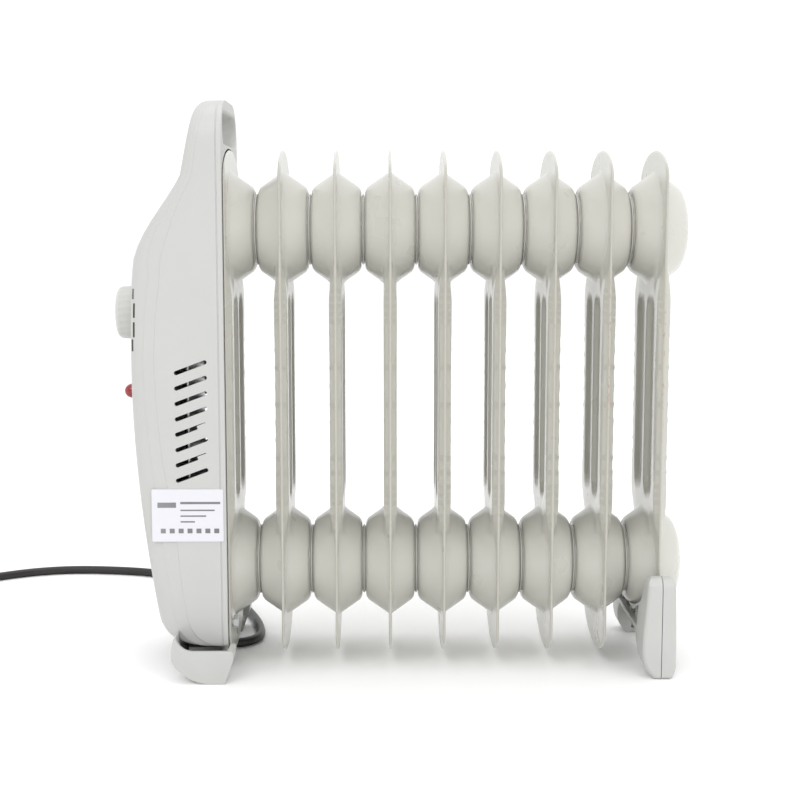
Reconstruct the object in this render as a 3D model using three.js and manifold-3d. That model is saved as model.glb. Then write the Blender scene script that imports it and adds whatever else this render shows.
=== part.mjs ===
// Oil filled radiator heater with nine pressed steel fins, a moulded control box with a
// carrying handle, a thermostat knob, two feet and a mains lead that ends in a coil and a plug.
//
// Millimetres, +Z up. +X runs along the heater from the control box to the last fin, +Y is
// across it, and the origin is on the floor in the middle of the heater.

import * as THREE from 'three';
import { mergeVertices } from 'three/addons/utils/BufferGeometryUtils.js';
import Module from 'manifold-3d';

// Radiator body
const FIN_COUNT = 9;
const FIN_PITCH = 36;
const FIRST_FIN_X = -115;
const FIN_HALF_WIDTH = 49;
const FIN_TIP_Z = 6.6;
const FIN_CORNER_Z = 28;
const FIN_ARCH_BASE_Z = 330;
const FIN_ARCH_RISE = 19.3;
const FIN_THICKNESS = 3;
const UPPER_CHAMBER_Z = 296.3;
const LOWER_CHAMBER_Z = 67.7;
const CHAMBER_RADIUS = 38.4;
const SHOULDER_RADIUS = 28.6;
const SHOULDER_REACH = 15.3;
const NECK_RADIUS = 24.7;
const NECK_BORE_RADIUS = 21;
const DOME_REACH = 21.4;
const STEEL_WALL = 2;
const CHANNEL_Y = 37.5;
const CHANNEL_HALF_DEPTH = 4.3;

// Control box
const BOX_REAR_X = -115.4;
const BOX_FRONT_X = -178.5;
const BOX_HALF_WIDTH = 54;
const BOX_BOTTOM_Z = 20;
const BOX_TOP_Z = 381;
const BOX_WALL = 2.5;
const HANDLE_HOLE_Z = 362.9;
const HANDLE_HOLE_HEIGHT = 20.2;
const HANDLE_HOLE_HALF_WIDTH = 44;
const VENT_COUNT = 8;
const VENT_PITCH = 10.17;
const VENT_TOP_Z = 207.4;
const VENT_X = -137.5;
const VENT_LENGTH = 21;
const VENT_WIDTH = 2.2;
const VENT_SLOPE = 0.375;
const LABEL_SIZE = { x: 47, z: 35 };
const LABEL_CENTRE = { x: -139.8, z: 109.5 };

// Controls, all on axes along X through the front of the box
const KNOB_Z = 240;
const KNOB_RADIUS = 18.25;
const KNOB_FRONT_X = -192.8;
const KNOB_BACK_X = -177.4;
const DIAL_RECESS_RADIUS = 22;
const DIAL_RECESS_X = -175.3;
const DIAL_BOSS_BACK_X = -171.5;
const SHAFT_RADIUS = 3;
const THERMOSTAT_SCREW_OFFSET = 12;
const LAMP_Z = 186;
const LAMP_RADIUS = 5.45;

// Feet
const FRONT_FOOT_HALF_WIDTH = 72;
const REAR_FOOT_HALF_WIDTH = 65.5;
const REAR_PAD_THICKNESS = 20;
const REAR_FOOT_LEFT_X = 159.8;
const REAR_FOOT_RIGHT_X = 182.6;
const REAR_FOOT_TOP_Z = 68.5;
const FOOT_SCREW_Y = 34;
const FOOT_SCREW_Z = 32;
const SCREW_RADIUS = 2;
const SCREW_HOLE_RADIUS = 2.5;

// Mains lead
const CORD_RADIUS = 3.25;
const CORD_LIE_Z = 3.4;
const CORD_SIDES = 10;
const CORD_STEPS = 44;
const GLAND_WALL_POINT = new THREE.Vector3(-152, -1.2, 22.4);
const GLAND_HEADING = 20 * Math.PI / 180;
const GLAND_DIP = 30 * Math.PI / 180;
const GLAND_REACH = 26;
const COIL_CENTRE = new THREE.Vector3(-372, 138, 0);
const COIL_MIDDLE_RADIUS = 36;
const COIL_TURNS_ACROSS = 3;
const COIL_LAYERS = 2;
const TURN_PITCH = 6.6;
const TIE_THICKNESS = 0.7;
const TIE_WIDTH = 6;
const PLUG_REAR = new THREE.Vector3(-414.5, 84, 18.8);
const PLUG_RADIUS = 18.4;

const GAP = 0.3;
const ROUND = 24;

const wasm = await Module();
wasm.setup();

const heater = new THREE.Group();

// ---------------------------------------------------------------- materials

function finish(color, roughness, metalness = 0) {
  return { color, roughness, metalness };
}

const PAINTED_STEEL = finish(0xd6d6cf, 0.32, 0.0);
const BOX_PLASTIC = finish(0xdcdcd9, 0.45);
const FOOT_PLASTIC = finish(0xd8d8d5, 0.5);
const KNOB_PLASTIC = finish(0xd9d9d9, 0.5);
const RED_LENS = finish(0xb5161c, 0.15);
const BLACK_PVC = finish(0x1b1918, 0.6);
const ZINC = finish(0xa9adb0, 0.35, 1.0);
const BRASS = finish(0xb08d4a, 0.35, 1.0);
const STAINLESS = finish(0x8d8f90, 0.4, 1.0);
const CERAMIC = finish(0xe8e4da, 0.7);
const PHENOLIC = finish(0x2a2522, 0.6);
const PAPER = finish(0xe9e8ef, 0.6);
const WIRE_BROWN = finish(0x5b3a24, 0.6);
const WIRE_BLUE = finish(0x27508f, 0.6);
const WIRE_EARTH = finish(0x6f8f2a, 0.6);
const TIE_PLASTIC = finish(0x222222, 0.5);

// ---------------------------------------------------------------- solids

// Turns a closed geometry into a solid whose faces point out.
function solidOf(geometry) {
  const bare = geometry.clone();
  bare.deleteAttribute('normal');
  bare.deleteAttribute('uv');
  const merged = mergeVertices(bare, 1e-4);
  const corners = merged.attributes.position.array;
  const triangles = Uint32Array.from(merged.index.array);
  if (signedVolume(corners, triangles) < 0) {
    for (let i = 0; i < triangles.length; i += 3) {
      [triangles[i], triangles[i + 1]] = [triangles[i + 1], triangles[i]];
    }
  }
  const mesh = new wasm.Mesh({
    numProp: 3,
    vertProperties: Float32Array.from(corners),
    triVerts: triangles,
  });
  return new wasm.Manifold(mesh);
}

function signedVolume(corners, triangles) {
  const [a, b, c] = [new THREE.Vector3(), new THREE.Vector3(), new THREE.Vector3()];
  let volume = 0;
  for (let i = 0; i < triangles.length; i += 3) {
    a.fromArray(corners, 3 * triangles[i]);
    b.fromArray(corners, 3 * triangles[i + 1]);
    c.fromArray(corners, 3 * triangles[i + 2]);
    volume += a.dot(b.cross(c));
  }
  return volume;
}

function geometryOf(solid) {
  const mesh = solid.getMesh();
  const geometry = new THREE.BufferGeometry();
  geometry.setAttribute('position', new THREE.BufferAttribute(mesh.vertProperties, 3));
  geometry.setIndex(new THREE.BufferAttribute(mesh.triVerts, 1));
  geometry.computeVertexNormals();
  return geometry;
}

function addPart(name, solid, look) {
  const mesh = new THREE.Mesh(geometryOf(solid), new THREE.MeshStandardMaterial(look));
  mesh.name = name;
  heater.add(mesh);
}

function joined(...solids) {
  return solids.reduce((whole, solid) => whole.add(solid));
}

function cutFrom(whole, ...cutters) {
  return cutters.reduce((rest, cutter) => rest.subtract(cutter), whole);
}

// A block between two corners.
function block(x0, x1, y0, y1, z0, z1) {
  const geometry = new THREE.BoxGeometry(x1 - x0, y1 - y0, z1 - z0);
  geometry.translate((x0 + x1) / 2, (y0 + y1) / 2, (z0 + z1) / 2);
  return solidOf(geometry);
}

function polygon(points) {
  return new THREE.Shape(points.map(([u, v]) => new THREE.Vector2(u, v)));
}

function prism(shape, length, curveSegments) {
  return new THREE.ExtrudeGeometry(shape, {
    depth: length,
    bevelEnabled: false,
    curveSegments,
  });
}

// A shape drawn in (Y, Z), standing from x0 to x1.
function alongX(shape, x0, x1, curveSegments = 6) {
  const turn = new THREE.Matrix4().makeBasis(
    new THREE.Vector3(0, 1, 0),
    new THREE.Vector3(0, 0, 1),
    new THREE.Vector3(1, 0, 0),
  );
  const geometry = prism(shape, x1 - x0, curveSegments);
  return solidOf(geometry.applyMatrix4(turn).translate(x0, 0, 0));
}

// A shape drawn in (X, Z), standing from y0 to y1.
function alongY(shape, y0, y1, curveSegments = 6) {
  const turn = new THREE.Matrix4().makeBasis(
    new THREE.Vector3(1, 0, 0),
    new THREE.Vector3(0, 0, 1),
    new THREE.Vector3(0, -1, 0),
  );
  const geometry = prism(shape, y1 - y0, curveSegments);
  return solidOf(geometry.applyMatrix4(turn).translate(0, y1, 0));
}

// A shape drawn in (X, Y), standing from z0 to z1.
function alongZ(shape, z0, z1, curveSegments = 6) {
  return solidOf(prism(shape, z1 - z0, curveSegments).translate(0, 0, z0));
}

// A body of revolution about the X axis. Points are [radius, x], from one end to the other.
function turnedOnX(points, y, z, segments = ROUND) {
  const outline = points.map(([radius, x]) => new THREE.Vector2(radius, x));
  const geometry = new THREE.LatheGeometry(outline, segments);
  return solidOf(geometry.rotateZ(-Math.PI / 2).translate(0, y, z));
}

function rodOnX(radius, x0, x1, y, z, segments = ROUND) {
  return turnedOnX([[0, x0], [radius, x0], [radius, x1], [0, x1]], y, z, segments);
}

// A body of revolution about a line from start towards direction. Points are [radius, along].
function turnedOnLine(points, start, direction, segments = ROUND) {
  const outline = points.map(([radius, along]) => new THREE.Vector2(radius, along));
  const geometry = new THREE.LatheGeometry(outline, segments);
  const up = new THREE.Vector3(0, 1, 0);
  const turn = new THREE.Quaternion().setFromUnitVectors(up, direction);
  return solidOf(geometry.applyQuaternion(turn).translate(start.x, start.y, start.z));
}

// A round tube along a smooth curve through the points.
function tube(points, radius, steps, sides) {
  const path = new THREE.CatmullRomCurve3(points, false, 'centripetal');
  const section = new THREE.Shape();
  section.absarc(0, 0, radius, 0, 2 * Math.PI, false);
  const geometry = new THREE.ExtrudeGeometry(section, {
    steps,
    curveSegments: sides / 2,
    extrudePath: path,
  });
  return solidOf(geometry);
}

// ---------------------------------------------------------------- radiator body

// Outside of an oil chamber, as [radius, x] about its fin. An end is open at the neck of the
// next fin, or closed by a dome.
function chamberOutside(leftIsDome, rightIsDome) {
  const neck = FIN_PITCH / 2 - GAP / 2;
  const end = (isDome, side) => (isDome
    ? [[0, side * DOME_REACH], [17, side * 20.4], [25.7, side * 18]]
    : [[0, side * neck], [NECK_RADIUS, side * neck]]);
  return [
    ...end(leftIsDome, -1),
    [SHOULDER_RADIUS, -SHOULDER_REACH],
    [CHAMBER_RADIUS, 0],
    [SHOULDER_RADIUS, SHOULDER_REACH],
    ...end(rightIsDome, 1).reverse(),
  ];
}

// The space inside it, one steel wall smaller.
function chamberInside(leftIsDome, rightIsDome) {
  const shoulder = SHOULDER_REACH - 1;
  const end = (isDome, side) => (isDome
    ? [[0, side * (DOME_REACH - STEEL_WALL)], [16, side * (DOME_REACH - 2 * STEEL_WALL)]]
    : [[0, side * FIN_PITCH], [NECK_BORE_RADIUS, side * FIN_PITCH], [NECK_BORE_RADIUS, side * shoulder]]);
  return [
    ...end(leftIsDome, -1),
    [SHOULDER_RADIUS - STEEL_WALL, -shoulder],
    [CHAMBER_RADIUS - STEEL_WALL, 0],
    [SHOULDER_RADIUS - STEEL_WALL, shoulder],
    ...end(rightIsDome, 1).reverse(),
  ];
}

function finOutline() {
  const outline = new THREE.Shape();
  outline.absellipse(0, FIN_CORNER_Z, FIN_HALF_WIDTH, FIN_CORNER_Z - FIN_TIP_Z, Math.PI, 2 * Math.PI, false);
  outline.lineTo(FIN_HALF_WIDTH, FIN_ARCH_BASE_Z);
  outline.absellipse(0, FIN_ARCH_BASE_Z, FIN_HALF_WIDTH, FIN_ARCH_RISE, 0, Math.PI, false);
  return outline;
}

// A vertical oil channel pressed into the plate, as a plan outline centred on y.
function channelPlan(y, halfDepth, halfWidth) {
  const foot = FIN_THICKNESS / 2 - 0.2;
  const crown = halfWidth * 0.4;
  return polygon([
    [-foot, y - halfWidth], [foot, y - halfWidth], [halfDepth, y - crown], [halfDepth, y + crown],
    [foot, y + halfWidth], [-foot, y + halfWidth], [-halfDepth, y + crown], [-halfDepth, y - crown],
  ]);
}

function channelBore(y, halfDepth, halfWidth) {
  return block(-halfDepth, halfDepth, y - halfWidth, y + halfWidth, LOWER_CHAMBER_Z, UPPER_CHAMBER_Z);
}

const CHAMBER_SEGMENTS = 16;
const CAVITY_SEGMENTS = 8;

function fin(isFirst, isLast) {
  const outside = chamberOutside(isFirst, isLast);
  const inside = chamberInside(isFirst, isLast);
  const steel = joined(
    alongX(finOutline(), -FIN_THICKNESS / 2, FIN_THICKNESS / 2, 5),
    turnedOnX(outside, 0, UPPER_CHAMBER_Z, CHAMBER_SEGMENTS),
    turnedOnX(outside, 0, LOWER_CHAMBER_Z, CHAMBER_SEGMENTS),
    alongZ(channelPlan(CHANNEL_Y, CHANNEL_HALF_DEPTH, 8.5), LOWER_CHAMBER_Z, UPPER_CHAMBER_Z),
    alongZ(channelPlan(-CHANNEL_Y, CHANNEL_HALF_DEPTH, 8.5), LOWER_CHAMBER_Z, UPPER_CHAMBER_Z),
    alongZ(channelPlan(0, 5, 5), LOWER_CHAMBER_Z, UPPER_CHAMBER_Z),
  );
  const hollow = joined(
    turnedOnX(inside, 0, UPPER_CHAMBER_Z, CAVITY_SEGMENTS),
    turnedOnX(inside, 0, LOWER_CHAMBER_Z, CAVITY_SEGMENTS),
    channelBore(CHANNEL_Y - 2.5, CHANNEL_HALF_DEPTH - 1.6, 3.5),
    channelBore(2.5 - CHANNEL_Y, CHANNEL_HALF_DEPTH - 1.6, 3.5),
  );
  let body = steel.subtract(hollow);
  if (isFirst) {
    body = cutFrom(body, rodOnX(13, -30, -10, 0, LOWER_CHAMBER_Z));
    body = cutFrom(body, rodOnX(4.3, -30, -10, 0, UPPER_CHAMBER_Z));
  }
  if (isFirst || isLast) {
    for (const y of [-FOOT_SCREW_Y, FOOT_SCREW_Y]) {
      body = cutFrom(body, rodOnX(SCREW_HOLE_RADIUS, -5, 5, y, FOOT_SCREW_Z, 10));
    }
  }
  return body;
}

function addFins() {
  for (let i = 0; i < FIN_COUNT; i += 1) {
    const body = fin(i === 0, i === FIN_COUNT - 1);
    addPart(`fin_${i + 1}`, body.translate([FIRST_FIN_X + i * FIN_PITCH, 0, 0]), PAINTED_STEEL);
  }
}

// Brass plug that closes the filling hole after the oil has gone in.
function addFillerPlug() {
  const face = FIRST_FIN_X - DOME_REACH;
  const plug = turnedOnX(
    [[0, face - 2.5], [6, face - 2.5], [6, face - GAP], [4, face - GAP], [4, face + 2], [0, face + 2]],
    0,
    UPPER_CHAMBER_Z,
    12,
  );
  addPart('oil_filler_plug', plug, BRASS);
}

// ---------------------------------------------------------------- heating element

const ELEMENT_LEG_Y = 8;
const ELEMENT_FLANGE_X = FIRST_FIN_X - DOME_REACH - GAP;

function addHeatingElement() {
  const start = FIRST_FIN_X - 15;
  const bend = 150;
  const at = (x, y) => new THREE.Vector3(x, y, LOWER_CHAMBER_Z - 4);
  const loop = [at(start, -ELEMENT_LEG_Y), at(start + 90, -ELEMENT_LEG_Y), at(bend - 90, -ELEMENT_LEG_Y)];
  for (let i = 0; i <= 6; i += 1) {
    const turn = (i / 6) * Math.PI - Math.PI / 2;
    loop.push(at(bend + ELEMENT_LEG_Y * Math.cos(turn), ELEMENT_LEG_Y * Math.sin(turn)));
  }
  loop.push(at(bend - 90, ELEMENT_LEG_Y), at(start + 90, ELEMENT_LEG_Y), at(start, ELEMENT_LEG_Y));
  addPart('heating_element', tube(loop, 3.5, 30, 8), STAINLESS);

  const collar = joined(
    turnedOnX(
      [[0, ELEMENT_FLANGE_X - 8], [17, ELEMENT_FLANGE_X - 8], [17, ELEMENT_FLANGE_X], [0, ELEMENT_FLANGE_X]],
      0,
      LOWER_CHAMBER_Z,
      6,
    ),
    rodOnX(12.6, ELEMENT_FLANGE_X - 1, start - GAP, 0, LOWER_CHAMBER_Z),
  );
  const pinHoles = [-ELEMENT_LEG_Y, ELEMENT_LEG_Y].map(
    (y) => rodOnX(2.4, ELEMENT_FLANGE_X - 20, start, y, LOWER_CHAMBER_Z - 4, 10),
  );
  addPart('element_flange', cutFrom(collar, ...pinHoles), BRASS);
  [-ELEMENT_LEG_Y, ELEMENT_LEG_Y].forEach((y, i) => {
    const pin = rodOnX(2, ELEMENT_FLANGE_X - 16, start - GAP, y, LOWER_CHAMBER_Z - 4, 10);
    addPart(`element_terminal_${i + 1}`, pin, ZINC);
  });
}

// ---------------------------------------------------------------- control box

// Side outline in (X, Z), moved in by inset.
function boxSide(inset) {
  const front = BOX_FRONT_X + inset;
  const bottom = BOX_BOTTOM_Z + inset;
  const top = BOX_TOP_Z - inset;
  const outline = new THREE.Shape();
  outline.moveTo(BOX_REAR_X, bottom);
  outline.lineTo(-133, bottom);
  outline.bezierCurveTo(-150, bottom, -160 + inset, 24 + inset, -163.5 + inset, 38);
  outline.bezierCurveTo(-170 + inset, 75, front, 140, front, 200);
  outline.bezierCurveTo(front, 230, front + 0.5, 262, front + 3, 277.5);
  outline.bezierCurveTo(front + 8, 298, -150 + inset, 318, -143.5 + inset, 332);
  outline.lineTo(-136 + inset, 368);
  outline.bezierCurveTo(-134 + inset, 376, -131 + inset, top, -126, top);
  outline.lineTo(BOX_REAR_X, top);
  return outline;
}

// Seen from behind, in (Y, Z): upright sides and a rounded top.
function boxBack(halfWidth, bottom, shoulder, top) {
  const outline = new THREE.Shape();
  outline.moveTo(-halfWidth, bottom);
  outline.lineTo(halfWidth, bottom);
  outline.lineTo(halfWidth, shoulder);
  outline.bezierCurveTo(halfWidth, (shoulder + 2 * top) / 3, halfWidth * 0.75, top, halfWidth * 0.4, top);
  outline.lineTo(-halfWidth * 0.4, top);
  outline.bezierCurveTo(-halfWidth * 0.75, top, -halfWidth, (shoulder + 2 * top) / 3, -halfWidth, shoulder);
  return outline;
}

// Seen from above, in (X, Y): straight sides and rounded front corners.
function boxPlan(inset) {
  const half = BOX_HALF_WIDTH - inset;
  const front = BOX_FRONT_X + inset;
  const outline = new THREE.Shape();
  outline.moveTo(BOX_REAR_X, -half);
  outline.lineTo(BOX_REAR_X, half);
  outline.lineTo(-156, half);
  outline.bezierCurveTo(-168, half - 0.5, front + 0.8, half - 4, front + 0.8, half - 16);
  outline.lineTo(front, 0);
  outline.lineTo(front + 0.8, 16 - half);
  outline.bezierCurveTo(front + 0.8, 4 - half, -168, 0.5 - half, -156, -half);
  return outline;
}

// Room inside the box for the first fin and the controls.
function boxCavity() {
  const half = BOX_HALF_WIDTH - BOX_WALL;
  const arch = new THREE.Shape();
  arch.moveTo(-half, BOX_BOTTOM_Z);
  arch.lineTo(half, BOX_BOTTOM_Z);
  arch.lineTo(half, FIN_ARCH_BASE_Z);
  arch.absellipse(0, FIN_ARCH_BASE_Z, half, FIN_ARCH_RISE + 1, 0, Math.PI, false);
  const side = alongY(boxSide(BOX_WALL), -half, half);
  const room = side.intersect(alongX(arch, BOX_FRONT_X, BOX_REAR_X, 5));
  const openBack = alongX(arch, BOX_REAR_X - 1, BOX_REAR_X + 10, 5);
  return room.intersect(alongZ(boxPlan(BOX_WALL), 0, BOX_TOP_Z, 5)).add(
    cutFrom(openBack, block(BOX_REAR_X - 2, BOX_REAR_X + 12, -60, 60, 0, BOX_BOTTOM_Z + BOX_WALL)),
  );
}

function handleHole() {
  const radius = HANDLE_HOLE_HEIGHT / 2;
  const reach = HANDLE_HOLE_HALF_WIDTH - radius;
  const hole = new THREE.Shape();
  hole.absarc(reach, HANDLE_HOLE_Z, radius, -Math.PI / 2, Math.PI / 2, false);
  hole.absarc(-reach, HANDLE_HOLE_Z, radius, Math.PI / 2, 1.5 * Math.PI, false);
  return alongX(hole, -170, -100, 5);
}

// Slanted slots through one side wall, side -1 near and 1 far.
function vents(side) {
  const slots = [];
  for (let i = 0; i < VENT_COUNT; i += 1) {
    const slot = new THREE.BoxGeometry(VENT_LENGTH, 12, VENT_WIDTH);
    slot.rotateY(-Math.atan(VENT_SLOPE));
    slot.translate(VENT_X, side * BOX_HALF_WIDTH, VENT_TOP_Z - i * VENT_PITCH);
    slots.push(solidOf(slot));
  }
  return slots;
}

function glandDirection() {
  return new THREE.Vector3(
    Math.cos(GLAND_DIP) * Math.cos(GLAND_HEADING),
    Math.cos(GLAND_DIP) * Math.sin(GLAND_HEADING),
    -Math.sin(GLAND_DIP),
  );
}

const FLANGE = { x0: -120.7, x1: -117, halfWidth: 45, z0: 12, z1: 45 };
const HOUSING_SCREW = { x: -130, y: 40 };

function boxOutside(inset) {
  const half = BOX_HALF_WIDTH - inset;
  const side = alongY(boxSide(inset), -half, half);
  const back = boxBack(half, 0, 351, BOX_TOP_Z - inset);
  return side
    .intersect(alongX(back, BOX_FRONT_X - 5, BOX_REAR_X, 6))
    .intersect(alongZ(boxPlan(inset), 0, BOX_TOP_Z + 5, 5));
}

function addControlBox() {
  const outside = boxOutside(0);
  const dialBoss = rodOnX(DIAL_RECESS_RADIUS + 3, BOX_FRONT_X, DIAL_BOSS_BACK_X, 0, KNOB_Z);
  const shell = joined(cutFrom(outside, boxCavity()), dialBoss.intersect(outside));
  const screwHoles = [-THERMOSTAT_SCREW_OFFSET, THERMOSTAT_SCREW_OFFSET].map(
    (y) => rodOnX(1.8, BOX_FRONT_X, DIAL_BOSS_BACK_X + 1, y, KNOB_Z, 10),
  );
  const bottomHoles = [-HOUSING_SCREW.y, HOUSING_SCREW.y].map(
    (y) => turnedOnLine(
      [[0, 0], [2, 0], [2, 10], [0, 10]],
      new THREE.Vector3(HOUSING_SCREW.x, y, BOX_BOTTOM_Z - 4),
      new THREE.Vector3(0, 0, 1),
      10,
    ),
  );
  const glandHole = turnedOnLine(
    [[0, -10], [5.9, -10], [5.9, 20], [0, 20]],
    GLAND_WALL_POINT,
    glandDirection(),
  );
  const box = cutFrom(
    shell,
    handleHole(),
    rodOnX(DIAL_RECESS_RADIUS, BOX_FRONT_X - 5, DIAL_RECESS_X, 0, KNOB_Z),
    rodOnX(SHAFT_RADIUS + 0.5, BOX_FRONT_X, DIAL_BOSS_BACK_X + 1, 0, KNOB_Z, 16),
    rodOnX(LAMP_RADIUS - 0.9, BOX_FRONT_X - 5, BOX_FRONT_X + 8, 0, LAMP_Z, 16),
    block(FLANGE.x0 - 0.4, BOX_REAR_X + 10, -50, 50, 15, BOX_BOTTOM_Z + BOX_WALL + 1),
    glandHole,
    ...screwHoles,
    ...bottomHoles,
    ...vents(-1),
    ...vents(1),
  );
  addPart('control_box_housing', box, BOX_PLASTIC);
}

const PLATE_X = -141;

// Steel plate that carries the electrical parts and shields them from the hot fin.
function addMountingPlate() {
  const upright = cutFrom(
    block(PLATE_X, PLATE_X + 1.2, -44, 44, 24, 325),
    rodOnX(18.5, PLATE_X - 5, PLATE_X + 5, 0, LOWER_CHAMBER_Z),
    rodOnX(8, PLATE_X - 5, PLATE_X + 5, 0, UPPER_CHAMBER_Z, 16),
  );
  const ledge = block(PLATE_X, -124, -44, 44, 22.9, 24.2);
  const screwHoles = [-HOUSING_SCREW.y, HOUSING_SCREW.y].map(
    (y) => block(HOUSING_SCREW.x - 2, HOUSING_SCREW.x + 2, y - 2, y + 2, 20, 30),
  );
  addPart('mounting_plate', cutFrom(joined(upright, ledge), ...screwHoles), ZINC);

  [-HOUSING_SCREW.y, HOUSING_SCREW.y].forEach((y, i) => {
    const screw = turnedOnLine(
      [[0, 0], [3.6, 0], [3.6, 2.2], [1.6, 2.2], [1.6, 9], [0, 9]],
      new THREE.Vector3(HOUSING_SCREW.x, y, BOX_BOTTOM_Z - 2.2 - GAP),
      new THREE.Vector3(0, 0, 1),
      10,
    );
    addPart(`housing_screw_${i + 1}`, screw, ZINC);
  });
}

function addRatingLabel() {
  const { x, z } = LABEL_CENTRE;
  const near = -BOX_HALF_WIDTH - GAP;
  const label = block(
    x - LABEL_SIZE.x / 2 - 1, x + LABEL_SIZE.x / 2 - 1,
    near - 0.3, near,
    z - LABEL_SIZE.z / 2, z + LABEL_SIZE.z / 2,
  );
  addPart('rating_label', label, PAPER);
}

// ---------------------------------------------------------------- controls

function addKnob() {
  const body = turnedOnX(
    [
      [0, KNOB_FRONT_X], [KNOB_RADIUS - 3, KNOB_FRONT_X], [KNOB_RADIUS, KNOB_FRONT_X + 3],
      [KNOB_RADIUS, KNOB_BACK_X], [0, KNOB_BACK_X],
    ],
    0,
    KNOB_Z,
    36,
  );
  const bore = rodOnX(SHAFT_RADIUS + GAP, KNOB_FRONT_X + 5, KNOB_BACK_X + 2, 0, KNOB_Z, 16);
  addPart('thermostat_knob', cutFrom(body, bore), KNOB_PLASTIC);

  const shaft = rodOnX(SHAFT_RADIUS, KNOB_FRONT_X + 5.5, -160, 0, KNOB_Z, 16);
  const flat = block(KNOB_FRONT_X, KNOB_BACK_X, -5, 5, KNOB_Z + 2, KNOB_Z + 5);
  addPart('thermostat_shaft', cutFrom(shaft, flat), ZINC);
}

function addThermostat() {
  const front = DIAL_BOSS_BACK_X + GAP;
  const screws = [-THERMOSTAT_SCREW_OFFSET, THERMOSTAT_SCREW_OFFSET];
  const holes = screws.map((y) => rodOnX(1.8, front - 1, front + 7, y, KNOB_Z, 10));
  const bodyBlock = cutFrom(
    joined(
      block(front, front + 3, -18, 18, KNOB_Z - 11, KNOB_Z + 11),
      block(front + 2, front + 15, -13, 13, KNOB_Z - 17, KNOB_Z + 11),
    ),
    rodOnX(SHAFT_RADIUS + 0.5, front - 1, front + 13, 0, KNOB_Z, 16),
    ...holes,
  );
  addPart('thermostat_body', bodyBlock, CERAMIC);
  screws.forEach((y, i) => {
    const screw = turnedOnX(
      [
        [0, DIAL_RECESS_X - 1.5], [2.8, DIAL_RECESS_X - 1.5], [2.8, DIAL_RECESS_X - GAP],
        [1.5, DIAL_RECESS_X - GAP], [1.5, front + 6], [0, front + 6],
      ],
      y,
      KNOB_Z,
      10,
    );
    addPart(`thermostat_screw_${i + 1}`, screw, ZINC);
  });
}

function addLamp() {
  const wall = BOX_FRONT_X - GAP;
  const lens = turnedOnX(
    [
      [0, wall - 10.8], [3, wall - 10], [5, wall - 7.6], [LAMP_RADIUS, wall - 5],
      [LAMP_RADIUS, wall], [0, wall],
    ],
    0,
    LAMP_Z,
    20,
  );
  addPart('indicator_lens', lens, RED_LENS);
  addPart('indicator_lamp', rodOnX(4.1, wall + GAP, -160, 0, LAMP_Z, 16), CERAMIC);
}

function addElectricalParts() {
  const onPlate = PLATE_X - GAP;
  addPart('thermal_cutout', joined(
    rodOnX(9, onPlate - 6, onPlate, 0, 150, 20),
    block(onPlate - 1.2, onPlate, -14, 14, 146, 154),
  ), PHENOLIC);
  addPart('terminal_block', block(onPlate - 14, onPlate, -24, 24, 100, 116), PHENOLIC);
  const earthScrew = joined(
    rodOnX(4, onPlate - 3, onPlate, 28, 50, 6),
    rodOnX(2, onPlate - 7, onPlate - 1, 28, 50, 10),
  );
  addPart('earth_screw', earthScrew, BRASS);
}

// ---------------------------------------------------------------- feet

function frontFootOutline() {
  const outline = new THREE.Shape();
  outline.moveTo(-128, 0);
  outline.lineTo(-116.5, 0);
  outline.lineTo(-113.2, 8.2);
  outline.lineTo(-110, 18);
  outline.lineTo(-111.5, 22);
  outline.lineTo(-138, 22);
  outline.quadraticCurveTo(-145.5, 23.5, -148.7, 30.8);
  outline.lineTo(-151.3, 20);
  outline.quadraticCurveTo(-151.5, 12, -143.7, 6.8);
  outline.quadraticCurveTo(-136, 0.5, -128, 0);
  return outline;
}

function addFrontFoot() {
  const half = FRONT_FOOT_HALF_WIDTH;
  const toes = cutFrom(
    alongY(frontFootOutline(), -half, half),
    boxOutside(-0.4),
    block(-146.5, -114, 3 - half, half - 3, 7, 60),
    block(-117, -100, -52, 52, -1, 60),
    block(-160, -100, -18, 26, -1, 60),
  );
  const chamberRoom = rodOnX(CHAMBER_RADIUS + 0.8, -130, -100, 0, LOWER_CHAMBER_Z, 32);
  const flange = cutFrom(
    block(FLANGE.x0, FLANGE.x1, -FLANGE.halfWidth, FLANGE.halfWidth, 4, FLANGE.z1),
    block(-125, -110, -19, 27, 0, FLANGE.z0),
    chamberRoom,
  );
  const holes = [-FOOT_SCREW_Y, FOOT_SCREW_Y].map(
    (y) => rodOnX(SCREW_HOLE_RADIUS, -125, -110, y, FOOT_SCREW_Z, 10),
  );
  addPart('front_foot', cutFrom(joined(toes, flange), ...holes), FOOT_PLASTIC);

  [-FOOT_SCREW_Y, FOOT_SCREW_Y].forEach((y, i) => {
    const headX = FIRST_FIN_X + FIN_THICKNESS / 2 + GAP;
    const screw = joined(
      rodOnX(4.4, headX, headX + 3, y, FOOT_SCREW_Z, 6),
      rodOnX(SCREW_RADIUS, -128, headX + 1, y, FOOT_SCREW_Z, 10),
    );
    addPart(`front_foot_screw_${i + 1}`, screw, ZINC);
    const nut = cutFrom(
      rodOnX(4.2, FLANGE.x0 - GAP - 3.2, FLANGE.x0 - GAP, y, FOOT_SCREW_Z, 6),
      rodOnX(SCREW_RADIUS + GAP, -130, -110, y, FOOT_SCREW_Z, 10),
    );
    addPart(`front_foot_nut_${i + 1}`, nut, ZINC);
  });
}

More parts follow.
